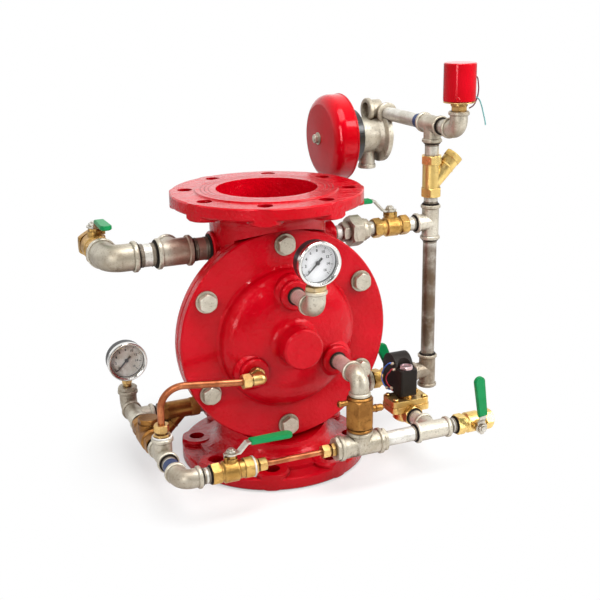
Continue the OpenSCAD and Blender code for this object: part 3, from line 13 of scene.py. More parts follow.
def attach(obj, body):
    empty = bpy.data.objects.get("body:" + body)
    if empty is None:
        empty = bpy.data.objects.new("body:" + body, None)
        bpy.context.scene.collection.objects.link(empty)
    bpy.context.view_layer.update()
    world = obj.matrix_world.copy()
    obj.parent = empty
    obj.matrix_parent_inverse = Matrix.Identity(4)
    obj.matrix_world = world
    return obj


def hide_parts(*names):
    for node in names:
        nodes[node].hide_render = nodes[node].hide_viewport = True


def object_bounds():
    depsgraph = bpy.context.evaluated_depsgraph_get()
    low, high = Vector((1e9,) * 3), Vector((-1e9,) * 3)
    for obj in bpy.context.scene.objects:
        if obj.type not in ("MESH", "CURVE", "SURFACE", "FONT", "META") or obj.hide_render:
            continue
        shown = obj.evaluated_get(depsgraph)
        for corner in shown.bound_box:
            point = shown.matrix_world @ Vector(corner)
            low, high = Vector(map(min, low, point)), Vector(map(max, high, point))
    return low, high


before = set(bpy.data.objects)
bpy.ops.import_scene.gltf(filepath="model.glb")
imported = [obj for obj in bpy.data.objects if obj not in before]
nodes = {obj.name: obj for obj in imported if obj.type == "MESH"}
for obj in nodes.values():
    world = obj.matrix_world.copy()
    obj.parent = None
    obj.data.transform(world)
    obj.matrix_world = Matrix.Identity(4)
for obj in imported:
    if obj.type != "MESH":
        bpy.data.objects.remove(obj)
cad_low, cad_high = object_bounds()
MM = 0.001
print("CAD box", [round(x, 4) for x in cad_high - cad_low], "and", len(nodes), "nodes")

# %% [markdown]
# The camera comes first, because it settles which side needs the most care. Its place was solved from the
# ellipses of the two pipe flanges and the bolts of the cover: it looks down a little, from the left, with
# a slight roll. The lens follows from the same fit, so no shift is needed.

# %% Camera
AZIMUTH, ELEVATION, ROLL = (math.radians(a) for a in (-22.997, 17.408, -0.948))
TARGET = Vector((0.05017, 0.0, 0.24166))
DISTANCE = 1.58878
LENS = 62.1
NEAREST, FARTHEST = 0.05, 50

back = Vector((math.sin(AZIMUTH) * math.cos(ELEVATION), -math.cos(AZIMUTH) * math.cos(ELEVATION),
               math.sin(ELEVATION)))
level = Vector((math.cos(AZIMUTH), math.sin(AZIMUTH), 0))
upward = back.cross(level)
right = level * math.cos(ROLL) + upward * math.sin(ROLL)
top = upward * math.cos(ROLL) - level * math.sin(ROLL)
bpy.ops.object.camera_add()
camera = bpy.context.object
camera.matrix_world = Matrix.Translation(TARGET + back * DISTANCE) @ Matrix(
    (right, top, back)).transposed().to_4x4()
camera.data.lens = LENS
camera.data.clip_start, camera.data.clip_end = NEAREST, FARTHEST
bpy.context.scene.camera = camera
print("camera at", [round(x, 3) for x in camera.location])

# %% [markdown]
# A lead is a length of soft insulated wire. Here each one is a curve with a round bevel along the same
# points as its solid in the CAD model, so it leaves its housing where the solid does. A Bezier spline with
# automatic handles bends as a stiff little wire does, without corners. A curve's box grows by the radius of
# its knots, not by its bevel, so the bevel is 1 and the knots hold the wire's thickness.

# %% Leads
LEAD_RADIUS = 1 * MM
LEAD_ROUTES = {
    "solenoid_lead_red": [(168.4, -89, 139), (164, -89, 140), (162, -84, 134), (162, -75, 125),
                          (162, -73, 117), (163, -78, 111), (163, -86, 109), (163, -92, 106)],
    "solenoid_lead_blue": [(168.4, -84, 147), (163, -83, 148), (160, -76, 142), (160, -66, 130),
                           (160, -62, 118), (161, -66, 109), (162, -74, 105), (163, -82, 104)],
    "switch_lead_red": [(302.3, -76, 573), (306, -76, 571), (308, -77, 562), (308, -78, 550),
                        (305, -78, 538), (300, -78, 530), (294, -76, 526)],
    "switch_lead_green": [(302.1, -80.2, 543), (308, -80, 539), (313, -80, 529), (317, -80, 516),
                          (320, -80, 506), (321, -80, 500)],
}


leads = {}
for name, route in LEAD_ROUTES.items():
    curve = bpy.data.curves.new(name + "_wire", "CURVE")
    curve.dimensions = "3D"
    curve.bevel_depth, curve.bevel_resolution, curve.resolution_u = 1, 3, 6
    curve.use_fill_caps = True
    spline = curve.splines.new("BEZIER")
    spline.bezier_points.add(len(route) - 1)
    for knot, place in zip(spline.bezier_points, route):
        knot.co = Vector(place) * MM
        knot.radius = LEAD_RADIUS
        knot.handle_left_type = knot.handle_right_type = "AUTO"
    wire = bpy.data.objects.new(name + "_wire", curve)
    bpy.context.scene.collection.objects.link(wire)
    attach(wire, "valve")
    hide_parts(name)
    leads[name] = wire

# %% [markdown]
# Finishes are built from shader nodes. Arithmetic on sockets is easier to read as Python expressions, so a
# small class wraps one socket and turns +, -, * and ** into Math nodes. Colours are mixed, never added.
# Every pattern reads the object's own coordinates, so it stays on its piece when the piece moves.

# %% Shader arithmetic
SHELTER_SAMPLES, ROUNDING_SAMPLES = 6, 4
SPOT_CORE = 0.6  # the share of a spot's radius that takes its full tint


class Level:
    """One number that changes over a surface, with Python's arithmetic."""

    def __init__(self, shading, socket):
        self.shading, self.socket = shading, socket

    def combined(self, operation, first, second):
        return self.shading.node("ShaderNodeMath", {"operation": operation}, {0: first, 1: second})

    def __add__(self, other):
        return self.combined("ADD", self, other)

    def __sub__(self, other):
        return self.combined("SUBTRACT", self, other)

    def __rsub__(self, other):
        return self.combined("SUBTRACT", other, self)

    def __mul__(self, other):
        return self.combined("MULTIPLY", self, other)

    def __pow__(self, other):
        return self.combined("POWER", self, other)

    __radd__ = __add__

    def above(self, low, high):
        """0 below low, 1 above high and a smooth step between."""
        return self.shading.node("ShaderNodeMapRange", {"interpolation_type": "SMOOTHSTEP"},
                                 {"Value": self, "From Min": low, "From Max": high})


class Shading:
    """A node tree, of a material or of the sky."""

    def __init__(self, tree):
        self.tree = tree

    def node(self, kind, settings=None, sockets=None, outlet=0):
        """A new node, as the level of one outlet. Its sockets are linked to levels or hold values."""
        made = self.tree.nodes.new(kind)
        for key, value in (settings or {}).items():
            setattr(made, key, value)
        for key, value in (sockets or {}).items():
            inlet = made.inputs[key]
            if isinstance(value, Level):
                self.tree.links.new(value.socket, inlet)
            elif inlet.type == "RGBA":
                inlet.default_value = (*value, 1)
            else:
                inlet.default_value = value
        return Level(self, made.outputs[outlet])

    def here(self):
        return self.node("ShaderNodeTexCoord", outlet="Object")

    def true_normal(self):
        return self.node("ShaderNodeNewGeometry", outlet="Normal")

    def part(self, vector, axis):
        return self.node("ShaderNodeSeparateXYZ", None, {0: vector}, axis)

    def place(self, stretch=(1, 1, 1), shift=(0, 0, 0)):
        return self.node("ShaderNodeMapping", None,
                         {"Vector": self.here(), "Scale": stretch, "Location": shift})

    def noise(self, scale, detail=3.0, roughness=0.5, **mapping):
        """Clouds, with scale lumps to the metre."""
        return self.node("ShaderNodeTexNoise", None,
                         {"Vector": self.place(**mapping), "Scale": scale, "Detail": detail,
                          "Roughness": roughness})

    def cells(self, scale):
        """Crystals, each in a shade of its own."""
        shade = self.node("ShaderNodeTexVoronoi", None,
                          {"Vector": self.place(), "Scale": scale}, "Color")
        return self.node("ShaderNodeSeparateColor", None, {"Color": shade}, "Red")

    def near(self, spot_mm, radius_mm):
        """1 at a spot and 0 beyond the radius."""
        gap = self.node("ShaderNodeVectorMath", {"operation": "DISTANCE"},
                        {0: self.here(), 1: tuple(c * MM for c in spot_mm)}, "Value")
        return 1 - gap.above(radius_mm * SPOT_CORE * MM, radius_mm * MM)

    def mix(self, factor, first, second):
        return self.node("ShaderNodeMix", {"data_type": "RGBA"}, {0: factor, 6: first, 7: second}, 2)

    def shelter(self, distance):
        """1 in the open and less in corners, where dirt, patina and painted shade are laid."""
        return self.node("ShaderNodeAmbientOcclusion", {"samples": SHELTER_SAMPLES},
                         {"Distance": distance}, "AO")

    def rounded(self, radius):
        return self.node("ShaderNodeBevel", {"samples": ROUNDING_SAMPLES}, {"Radius": radius})

    def edges(self, radius):
        """1 on sharp edges, from how far a rounded normal turns away from the true one."""
        turn = self.node("ShaderNodeVectorMath", {"operation": "DOT_PRODUCT"},
                         {0: self.rounded(radius), 1: self.true_normal()}, "Value")
        return (1 - turn).above(0.02, 0.25)

    def bump(self, height, distance, strength, rounding):
        """The normal of a surface with rounded edges and a grain of a given height."""
        return self.node("ShaderNodeBump", None,
                         {"Height": height, "Distance": distance, "Strength": strength,
                          "Normal": self.rounded(rounding)})

    def ray(self, kind):
        return self.node("ShaderNodeLightPath", outlet=kind)


class Finish(Shading):
    """A material under construction."""

    def __init__(self, name, **values):
        self.material = bpy.data.materials.new(name)
        self.material.use_nodes = True
        super().__init__(self.material.node_tree)
        self.shader = self.tree.nodes["Principled BSDF"]
        for word, value in values.items():
            self.inlet(word).default_value = value

    def inlet(self, word):
        """The shader's socket of that name, as in coat_weight for Coat Weight."""
        return self.shader.inputs[word.replace("_", " ").title().replace("Ior", "IOR")]

    def set(self, **levels):
        for word, value in levels.items():
            self.tree.links.new(value.socket, self.inlet(word))
        return self.material

    def blended(self, share, first, second):
        """Two shaders mixed by a share, as the whole surface."""
        both = self.tree.nodes.new("ShaderNodeMixShader")
        for outlet, inlet in zip((share.socket, first.outputs[0], second.outputs[0]), both.inputs):
            self.tree.links.new(outlet, inlet)
        self.tree.links.new(both.outputs[0], self.tree.nodes["Material Output"].inputs["Surface"])
        return self.material


# %% [markdown]
# Red enamel is sprayed thickly over rough cast iron. The coat pools in the hollows, so the casting's lumps
# show as slow waves, and a fine orange peel lies on top. Where the coat is thin it looks a little paler, and
# sheltered corners are darkened with a painted shade. The glints are tinted, and a thin clear coat adds the
# wet shine.

# %% Red enamel
# The first two reds are the paint's own tones; the last red is a painted shade for sheltered corners.
THICK_RED, THIN_RED, SHADED_CORNER_RED = (0.50, 0.0006, 0.006), (0.57, 0.0009, 0.010), (0.24, 0.0003, 0.001)
RED_GLINT = (1, 0.18, 0.19, 1)


def red_enamel(name, lumps, peel, gloss):
    red = Finish(name, coat_weight=gloss, coat_roughness=0.07, specular_tint=RED_GLINT)
    waves = red.noise(26, 4, 0.55)
    colour = red.mix(waves.above(0.3, 0.7), THICK_RED, THIN_RED)
    # Painted shade: corners that the occlusion node finds sheltered are mixed towards the darkest red.
    colour = red.mix(red.shelter(25 * MM).above(0.2, 0.95), SHADED_CORNER_RED, colour)
    height = red.noise(42, 3, 0.5) * lumps + red.noise(210, 3, 0.55) * peel
    roughness = red.noise(70, 3) * 0.12 + 0.09
    return red.set(base_color=colour, roughness=roughness,
                   normal=red.bump(height, 1 * MM, 1.0, 1.6 * MM))


CAST_RED = red_enamel("red_enamel_on_casting", lumps=2.2, peel=1.1, gloss=0.14)
SHEET_RED = red_enamel("red_enamel_on_sheet", lumps=0.12, peel=0.05, gloss=0.2)

# %% [markdown]
# Hot-dip galvanising leaves a zinc skin with faint crystals, pale where it is new and brown where water and
# thread oil have run. The large patches come from slow noise, the crystals from Voronoi cells, and fine
# specks lie between them. The brown is also laid in corners, as dirt with a painted shade, and on undersides
# as a painted shade, and single blotches of rust sit next to some joints. A yellow plug and a yellow reducer
# belong to the galvanised fittings, and two more blotches tint them.

# %% Zinc
# How far the corner darkening reaches; it stands for dirt together with a painted shade.
DIRT_AND_SHADE_REACH = 12 * MM


def zinc(name, pale, dull, stain_and_shade, runs, metal=0.6, blotches=()):
    skin = Finish(name, metallic=metal)
    crystals = skin.cells(240)
    patches = skin.noise(17, 5, 0.62, shift=(0.3, 0.1, 0.2))
    colour = skin.mix(patches.above(0.38, 0.64), dull, pale)
    colour = skin.mix(crystals * 0.25, colour, tuple(1.12 * c for c in pale))
    specks = skin.noise(420, 3, 0.6).above(0.58, 0.66)
    colour = skin.mix(specks * 0.4, colour, stain_and_shade)

    # Corners darken with dirt and a painted shade, downward faces with a painted shade only, and streaks add
    # real runs.
    corner = 1 - skin.shelter(DIRT_AND_SHADE_REACH).above(0.35, 0.95)
    streaks = skin.noise(30, 6, 0.7, stretch=(1, 1, 0.35)).above(0.55, 0.75)
    # Painted shade on faces that turn downwards.
    under = (0 - skin.part(skin.true_normal(), "Z")).above(0.2, 1.0)
    dirt_and_shade = (corner * 0.7 + streaks * runs + under * 0.55).above(0.0, 1.0)
    colour = skin.mix(dirt_and_shade, colour, stain_and_shade)
    for spot, radius, tint, strength in blotches:
        cloud = skin.noise(55, 5, 0.65).above(0.3, 0.6) * 0.45 + 0.55
        colour = skin.mix(skin.near(spot, radius) * strength * cloud, colour, tint)

    roughness = 0.3 + patches * 0.22 + dirt_and_shade * 0.25 + specks * 0.15
    height = skin.noise(900, 2) * 0.25 + skin.noise(120, 4, 0.6) * 0.8 + crystals * 0.1
    return skin.set(base_color=colour, roughness=roughness,
                    normal=skin.bump(height, 0.35 * MM, 0.9, 0.7 * MM))


RUST_RED, RUST_BROWN, RUST_BLACK = (0.30, 0.13, 0.085), (0.17, 0.11, 0.06), (0.12, 0.075, 0.04)
PLUG_YELLOW, REDUCER_YELLOW = (0.52, 0.38, 0.17), (0.60, 0.40, 0.14)
# Each blotch: its middle and radius in mm, its tint and its strength.
FITTING_BLOTCHES = [
    ((-135, 0, 341), 34, RUST_RED, 0.75), ((-241, 0, 335), 42, RUST_BROWN, 0.35),
    ((277, 0, 85), 46, RUST_BROWN, 0.7), ((-203, -183, 66), 34, RUST_BROWN, 0.5),
    ((-203, 86, 80), 40, RUST_BROWN, 0.5), ((90, 0, 341), 40, RUST_RED, 0.4),
    ((-146, 46, 341), 22, PLUG_YELLOW, 0.85), ((0, -174, 320), 21, REDUCER_YELLOW, 0.9),
]
PIPE_BLOTCHES = [((-106, 0, 341), 30, RUST_RED, 0.8)] + [
    ((270, -4, z), 44, RUST_BLACK, 0.85) for z in (150, 190, 230, 270)]
FITTING_ZINC = zinc("galvanised_fitting", pale=(0.64, 0.60, 0.50), dull=(0.42, 0.37, 0.28),
                    stain_and_shade=(0.10, 0.06, 0.03), runs=0.6, blotches=FITTING_BLOTCHES)
PIPE_ZINC = zinc("galvanised_pipe", pale=(0.76, 0.75, 0.70), dull=(0.52, 0.49, 0.41),
                 stain_and_shade=(0.16, 0.10, 0.06), runs=0.5, blotches=PIPE_BLOTCHES)
PLATED_ZINC = zinc("zinc_plated_steel", pale=(0.70, 0.66, 0.56), dull=(0.48, 0.44, 0.35),
                   stain_and_shade=(0.18, 0.13, 0.08), runs=0.3, metal=0.9)
LEVER_STEEL = zinc("nickel_plated_lever", pale=(0.70, 0.68, 0.62), dull=(0.52, 0.49, 0.42),
                   stain_and_shade=(0.25, 0.18, 0.1), runs=0.15, metal=0.95)

# %% [markdown]
# The yellow and brown metals differ in make and in age. Valve bodies are forged and blasted, which leaves a
# fine matt grain, the tube fittings are turned smooth, the older castings have gone brown, and the copper
# tubes are drawn. One function covers them all: edges are polished by handling, corners keep a dark film,
# and grain, roughness and tarnish are its settings.

# %% Brass, bronze and copper
FILM_REACH = 12 * MM
METAL_BUMP = 0.3 * MM, 0.8, 0.6 * MM  # the depth and strength of the grain, and the rounding of edges


def yellow_metal(name, bright, worn, film, grain, rough, tarnish):
    alloy = Finish(name, metallic=1.0)
    clouds = alloy.noise(38, 5, 0.6)
    colour = alloy.mix(clouds.above(0.36, 0.62) * tarnish, bright, worn)
    stains = alloy.noise(170, 6, 0.72).above(0.5, 0.68) * tarnish
    colour = alloy.mix(stains * 0.4, colour, film)
    colour = alloy.mix(alloy.shelter(FILM_REACH).above(0.25, 0.95), film, colour)
    polished = tuple(min(1, 1.15 * c) for c in bright)
    colour = alloy.mix(alloy.edges(0.7 * MM) * 0.5, colour, polished)
    roughness = rough + clouds * 0.14 + stains * 0.2
    height = alloy.noise(1300, 2) * grain + alloy.noise(110, 3) * grain
    return alloy.set(base_color=colour, roughness=roughness, normal=alloy.bump(height, *METAL_BUMP))


FORGED_BRASS = yellow_metal("forged_brass", bright=(0.86, 0.63, 0.23), worn=(0.68, 0.45, 0.13),
                            film=(0.20, 0.08, 0.015), grain=0.7, rough=0.22, tarnish=0.5)
DULL_BRASS = yellow_metal("dull_brass", bright=(0.65, 0.41, 0.13), worn=(0.40, 0.22, 0.055),
                          film=(0.09, 0.03, 0.006), grain=0.8, rough=0.31, tarnish=0.95)
TURNED_BRASS = yellow_metal("turned_brass", bright=(0.80, 0.55, 0.22), worn=(0.54, 0.32, 0.10),
                            film=(0.14, 0.05, 0.015), grain=0.06, rough=0.26, tarnish=0.8)
OLD_BRONZE = yellow_metal("old_bronze", bright=(0.39, 0.19, 0.05), worn=(0.23, 0.10, 0.026),
                          film=(0.04, 0.014, 0.004), grain=0.6, rough=0.3, tarnish=0.95)
COPPER = yellow_metal("copper_tube", bright=(0.60, 0.22, 0.095), worn=(0.34, 0.10, 0.04),
                      film=(0.12, 0.04, 0.015), grain=0.15, rough=0.3, tarnish=0.95)


def solenoid_brass(plated_from):
    """The body's brass, with the coil's nut plated: the nut is all that stands above a height."""
    alloy = Finish("solenoid_brass", metallic=1.0)
    clouds = alloy.noise(45, 5, 0.6)
    colour = alloy.mix(clouds.above(0.36, 0.62) * 0.7, (0.90, 0.66, 0.27), (0.74, 0.48, 0.15))
    colour = alloy.mix(alloy.shelter(FILM_REACH).above(0.25, 0.95), (0.22, 0.09, 0.02), colour)
    plated = alloy.part(alloy.here(), "Z").above(plated_from, plated_from + 1 * MM)
    colour = alloy.mix(plated, colour, (0.74, 0.55, 0.58))
    height = alloy.noise(1300, 2) * 0.7 + alloy.noise(110, 3) * 0.7
    return alloy.set(base_color=colour, roughness=clouds * 0.14 + 0.24,
                     normal=alloy.bump(height, *METAL_BUMP))


SOLENOID_BRASS = solenoid_brass(130 * MM)

# %% [markdown]
# The small parts are simpler: black resin and black enamel, moulded rubber, dipped vinyl on the levers,
# wire insulation, white dials and clear windows. Each one still has its own grain and gloss.

# %% Plastics, rubber and glass


def moulded(name, colour, second, rough, grain, coat=0.0, shine=0.5):
    resin = Finish(name, coat_weight=coat, coat_roughness=0.15, specular_ior_level=shine)
    cloud = resin.noise(60, 3)
    height = resin.noise(1500, 2) * grain + cloud * 0.4
    return resin.set(base_color=resin.mix(cloud, colour, second),
                     roughness=resin.noise(300, 2) * 0.12 + rough,
                     normal=resin.bump(height, 0.2 * MM, 0.8, 0.6 * MM))


COIL_RESIN = moulded("coil_resin", (0.007, 0.005, 0.004), (0.016, 0.011, 0.008),
                     rough=0.5, grain=0.5, shine=0.25)
BLACK_ENAMEL = moulded("black_enamel", (0.008, 0.008, 0.009), (0.02, 0.019, 0.018),
                       rough=0.24, grain=0.2, coat=0.4)
MOULDED_RUBBER = moulded("moulded_rubber", (0.012, 0.012, 0.012), (0.03, 0.028, 0.026),
                         rough=0.62, grain=0.8)
GREEN_VINYL = moulded("green_vinyl", (0.002, 0.21, 0.055), (0.004, 0.28, 0.085),
                      rough=0.32, grain=0.15, coat=0.1, shine=0.2)
NEEDLE_BLACK = moulded("needle_black", (0.004, 0.004, 0.004), (0.008, 0.008, 0.008),
                       rough=0.6, grain=0.1)
PRINT_BLACK = moulded("dial_print", (0.012, 0.012, 0.012), (0.02, 0.02, 0.02),
                      rough=0.5, grain=0.05)
CREAM_SLEEVE = moulded("cream_sleeve", (0.70, 0.60, 0.45), (0.62, 0.52, 0.38),
                       rough=0.4, grain=0.2)


def insulation(name, colour, second, coat):
    return moulded(name, colour, second, rough=0.3, grain=0.1, coat=coat)


LEAD_FINISH = {
    "solenoid_lead_red": insulation("red_insulation", (0.66, 0.03, 0.05), (0.50, 0.02, 0.05), 0.2),
    "solenoid_lead_blue": insulation("blue_insulation", (0.03, 0.12, 0.60), (0.05, 0.20, 0.75), 0.2),
    "switch_lead_red": insulation("dark_red_insulation", (0.10, 0.012, 0.03), (0.16, 0.02, 0.045), 0.3),
    "switch_lead_green": insulation("teal_insulation", (0.10, 0.33, 0.33), (0.16, 0.42, 0.42), 0.3),
}


def dial_card(old_spot, reach):
    """White card, yellowed and smudged around a spot."""
    card = Finish("dial_white", roughness=0.5)
    smudge = card.noise(60, 5, 0.65).above(0.35, 0.7)
    old = card.mix(smudge, (0.74, 0.71, 0.65), (0.50, 0.45, 0.37))
    return card.set(base_color=card.mix(card.near(old_spot, reach), (0.88, 0.89, 0.91), old))


DIAL_WHITE = dial_card((-203, 91, 151), 80)


def window_glass():
    """Clear to the eye, with a reflection that grows towards the rim of the view."""
    glass = Finish("window_glass")
    clear = glass.tree.nodes.new("ShaderNodeBsdfTransparent")
    shine = glass.tree.nodes.new("ShaderNodeBsdfGlossy")
    shine.inputs["Roughness"].default_value = 0.03
    facing_away = glass.node("ShaderNodeLayerWeight", None, {"Blend": 0.5}, "Facing")
    return glass.blended(facing_away ** 5.0 * 0.9 + 0.04, clear, shine)


CLEAR_WINDOW = window_glass()

# %% [markdown]
# A gauge case and its bezel are one node, but the bezel is chromed and the case is black. The bezel is the
# part in front, so a step along Y picks it out in the material.

# %% Gauge case with a chromed bezel
GAUGES = {"cover_gauge": Vector((0, -0.186, 0.351)), "supply_gauge": Vector((-0.203, 0.091, 0.151))}
BEZEL_DEPTH, BEZEL_STEP = 4.1 * MM, 0.2 * MM


def gauge_case(name, bezel_y):
    case = Finish(name)
    chrome = 1 - case.part(case.here(), "Y").above(bezel_y, bezel_y + BEZEL_STEP)
    cloud = case.noise(80, 4)
    colour = case.mix(chrome, (0.012, 0.012, 0.013), (0.74, 0.73, 0.70))
    return case.set(base_color=colour, metallic=chrome,
                    roughness=0.14 + cloud * 0.12 + (1 - chrome) * 0.14,
                    normal=case.bump(cloud, 0.1 * MM, 0.5, 0.4 * MM))


# %% [markdown]
# Every node takes its finish here. The order follows the assembly: castings, pipework, instruments. Four of
# the five ball valves are dull with age; the one on the drain is new.

# %% Put the finishes on
VALVES = ("test", "alarm", "side", "front", "drain")
WORN = {
    CAST_RED: ["valve_body", "valve_cover"],
    SHEET_RED: ["gong", "switch_cap"],
    MOULDED_RUBBER: ["diaphragm"],
    OLD_BRONZE: ["seat_ring", "main_disc", "check_valve_body", "check_valve_flap", "relief_body",
                 "supply_strainer_body"],
    PLATED_ZINC: ["cover_bolts", "gong_spindle", "strainer_screens", "main_spring", "relief_piston",
                  "solenoid_plunger", "switch_plunger"],
    LEVER_STEEL: [valve + "_valve_lever" for valve in VALVES],
    FITTING_ZINC: ["pipe_elbows", "pipe_tees", "hex_bushings", "pipe_union", "motor_housing",
                   "motor_end_cover"],
    PIPE_ZINC: ["pipe_nipples", "long_pipes"],
    COPPER: ["copper_tubes"],
    FORGED_BRASS: ["riser_strainer_body", "motor_rotor", "drain_valve_body"],
    SOLENOID_BRASS: ["solenoid_body"],
    DULL_BRASS: [valve + "_valve_body" for valve in VALVES if valve != "drain"],
    TURNED_BRASS: ["compression_fittings", "gauge_stems", "switch_base"],
    COIL_RESIN: ["solenoid_coil"],
    BLACK_ENAMEL: ["motor_flange"],
    NEEDLE_BLACK: ["cover_gauge_needle", "supply_gauge_needle"],
    DIAL_WHITE: ["gauge_dials"],
    CLEAR_WINDOW: ["gauge_lenses"],
    GREEN_VINYL: [valve + "_valve_grip" for valve in VALVES],
}


def coat(piece, finish):
    piece.data.materials.clear()
    piece.data.materials.append(finish)


for finish, names in WORN.items():
    for name in names:
        coat(nodes[name], finish)
for name, centre in GAUGES.items():
    coat(nodes[name + "_case"], gauge_case(name + "_case_finish", centre.y + BEZEL_DEPTH))
for name, finish in LEAD_FINISH.items():
    coat(leads[name], finish)
print("finishes on", sum(len(n) for n in WORN.values()) + len(GAUGES), "nodes")

# %% [markdown]
# Turned pieces are drawn as half a section and spun. The section starts as a plane merged to one vertex,
# which is extruded from corner to corner. Doubles at the seam are merged, and the normals are made to point
# outwards.

# %% Spin a section
SAME_PLACE = 0.01 * MM
SHARP_EDGE = math.radians(35)
AXES = {"+x": Vector((1, 0, 0)), "-x": Vector((-1, 0, 0)), "+y": Vector((0, 1, 0)),
        "-y": Vector((0, -1, 0)), "+z": Vector((0, 0, 1)), "-z": Vector((0, 0, -1))}


def alone():
    if bpy.context.object and bpy.context.object.mode != "OBJECT":
        bpy.ops.object.mode_set(mode="OBJECT")
    bpy.ops.object.select_all(action="DESELECT")


def turned(name, section, steps=40):
    """A closed section of (radius, height) corners in mm, spun round local Z."""
    alone()
    bpy.ops.mesh.primitive_plane_add(size=1 * MM)
    piece = bpy.context.object
    piece.name = piece.data.name = name
    bpy.ops.object.mode_set(mode="EDIT")
    bpy.ops.mesh.merge(type="CENTER")
    at = Vector((section[0][0], 0, section[0][1])) * MM
    bpy.ops.transform.translate(value=at)
    for radius, height in section[1:] + section[:1]:
        to = Vector((radius, 0, height)) * MM
        bpy.ops.mesh.extrude_region_move(TRANSFORM_OT_translate={"value": to - at})
        at = to
    bpy.ops.mesh.select_all(action="SELECT")
    bpy.ops.mesh.spin(steps=steps, angle=2 * math.pi, center=(0, 0, 0), axis=(0, 0, 1))
    bpy.ops.mesh.select_all(action="SELECT")
    bpy.ops.mesh.remove_doubles(threshold=SAME_PLACE)
    bpy.ops.mesh.normals_make_consistent(inside=False)
    bpy.ops.object.mode_set(mode="OBJECT")
    bpy.ops.object.shade_smooth_by_angle(angle=SHARP_EDGE)
    return piece


def facing(place_mm, axis, scale=1.0):
    """The matrix that carries a pattern to a place and turns its Z to an axis."""
    turn = AXES[axis].to_track_quat("Z", "Y").to_matrix().to_4x4()
    return Matrix.Translation(Vector(place_mm) * MM) @ turn @ Matrix.Scale(scale, 4)


def copied(pattern, name, where):
    """A copy with its own mesh, moved by a matrix that ends up in the mesh."""
    piece = pattern.copy()
    piece.data = pattern.data.copy()
    piece.name = piece.data.name = name
    bpy.context.scene.collection.objects.link(piece)
    piece.data.transform(where)
    return piece


def joined(name, pieces, body, finish):
    """One object from several, riding on a body."""
    alone()
    for piece in pieces:
        piece.select_set(True)
    bpy.context.view_layer.objects.active = pieces[0]
    bpy.ops.object.join()
    whole = bpy.context.object
    whole.name = whole.data.name = name
    coat(whole, finish)
    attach(whole, body)
    print(name, len(whole.data.polygons), "faces")


# %% [markdown]
# Where a pipe enters a fitting, the last turns of its thread stay in sight, with a squeezed ring of sealing
# compound at the mouth. Both are spun once, for the half-inch pipe, and copied to every mouth. On the
# one-inch pipe they are scaled up, but the compound keeps its thickness along the pipe. The lists give the
# middle of each mouth in mm and the way it faces. The two ends of one pipe follow each other.

# %% Threads and sealing compound
PIPE_R = 10.9
LARGE = 33.4 / 21.8
THREAD_PITCH, THREAD_TURNS = 1.814, 3
THREAD_INSIDE, THREAD_ROOT, THREAD_CREST = PIPE_R - 0.6, PIPE_R + 0.1, PIPE_R + 0.42
COMPOUND_SECTION = [(PIPE_R - 0.4, 0.05), (PIPE_R + 2.2, 0.05), (PIPE_R + 2.6, 0.8),
                    (PIPE_R + 1.8, 1.9), (PIPE_R + 0.5, 2.6), (PIPE_R - 0.4, 2.6)]
SMALL_MOUTHS = [
    # on the cover
    ((0, -105, 284), "-y"), ((0, -146, 284), "+y"),
    ((64.15, -105, 176.17), "-y"), ((64.15, -150, 176.17), "+y"),
    # the priming line on the left
    ((-203, -150, 72.5), "+y"), ((-203, -120, 72.5), "-y"),
    ((-203, -64, 72.5), "+y"), ((-203, 30, 72.5), "-y"),
    ((-175, -178, 72.5), "+x"), ((-161, -178, 72.5), "-x"),
    ((-175, 58, 72.5), "+x"), ((-92, 58, 72.5), "-x"),
    # the release line in front
    ((155, -178, 72.5), "-x"), ((211, -178, 72.5), "+x"), ((223, -178, 72.5), "-x"),
    ((183, -150, 72.5), "+y"), ((183, -126, 72.5), "-y"),
    # the side line and the riser on the right
    ((105, 0, 341), "+x"), ((249, 0, 341), "-x"), ((249, 0, 90), "-x"), ((100, 0, 90), "+x"),
    ((277, 0, 118), "+z"), ((277, 0, 313), "-z"), ((277, 0, 369), "+z"), ((277, 0, 467), "-z"),
    ((277, -28, 495), "-y"), ((277, -48, 495), "+y"), ((277, 28, 495), "+y"),
]
LARGE_MOUTHS = [((-92, 0, 341), "-x"), ((-120, 0, 341), "+x"),
                ((-172, 0, 341), "-x"), ((-200, 0, 341), "+x")]

thread_section = [(THREAD_INSIDE, 0.0)]
for turn in range(THREAD_TURNS):
    thread_section += [(THREAD_ROOT, turn * THREAD_PITCH), (THREAD_CREST, (turn + 0.5) * THREAD_PITCH)]
thread_section += [(r, THREAD_TURNS * THREAD_PITCH) for r in (THREAD_ROOT, THREAD_INSIDE)]
thread_pattern = turned("thread_pattern", thread_section)
compound_pattern = turned("compound_pattern", COMPOUND_SECTION)
threads, compound_rings = [], []
for mouths, scale in ((SMALL_MOUTHS, 1), (LARGE_MOUTHS, LARGE)):
    for place, way in mouths:
        where = facing(place, way, scale)
        threads.append(copied(thread_pattern, "thread", where))
        compound_rings.append(copied(compound_pattern, "compound",
                                     where @ Matrix.Diagonal((1, 1, 1 / scale, 1))))
for pattern in (thread_pattern, compound_pattern):
    bpy.data.objects.remove(pattern)
CUT_THREAD = zinc("cut_thread", pale=(0.30, 0.26, 0.20), dull=(0.13, 0.10, 0.07),
                  stain_and_shade=(0.03, 0.02, 0.012), runs=0.7, metal=0.5)
COMPOUND = moulded("sealing_compound", (0.004, 0.003, 0.003), (0.016, 0.011, 0.008),
                   rough=0.6, grain=1.5, shine=0.15)
joined("cut_threads", threads, "valve", CUT_THREAD)
joined("sealing_compound_rings", compound_rings, "valve", COMPOUND)

# %% [markdown]
# Two pipes carry a wrap of dark blue tape next to a fitting. White sealing tape shows at three joints: over
# the riser's pipe, under the bent tube and at the front valve. A wrap is a short spun band whose outer face
# waves a little, because tape never lies quite flat.

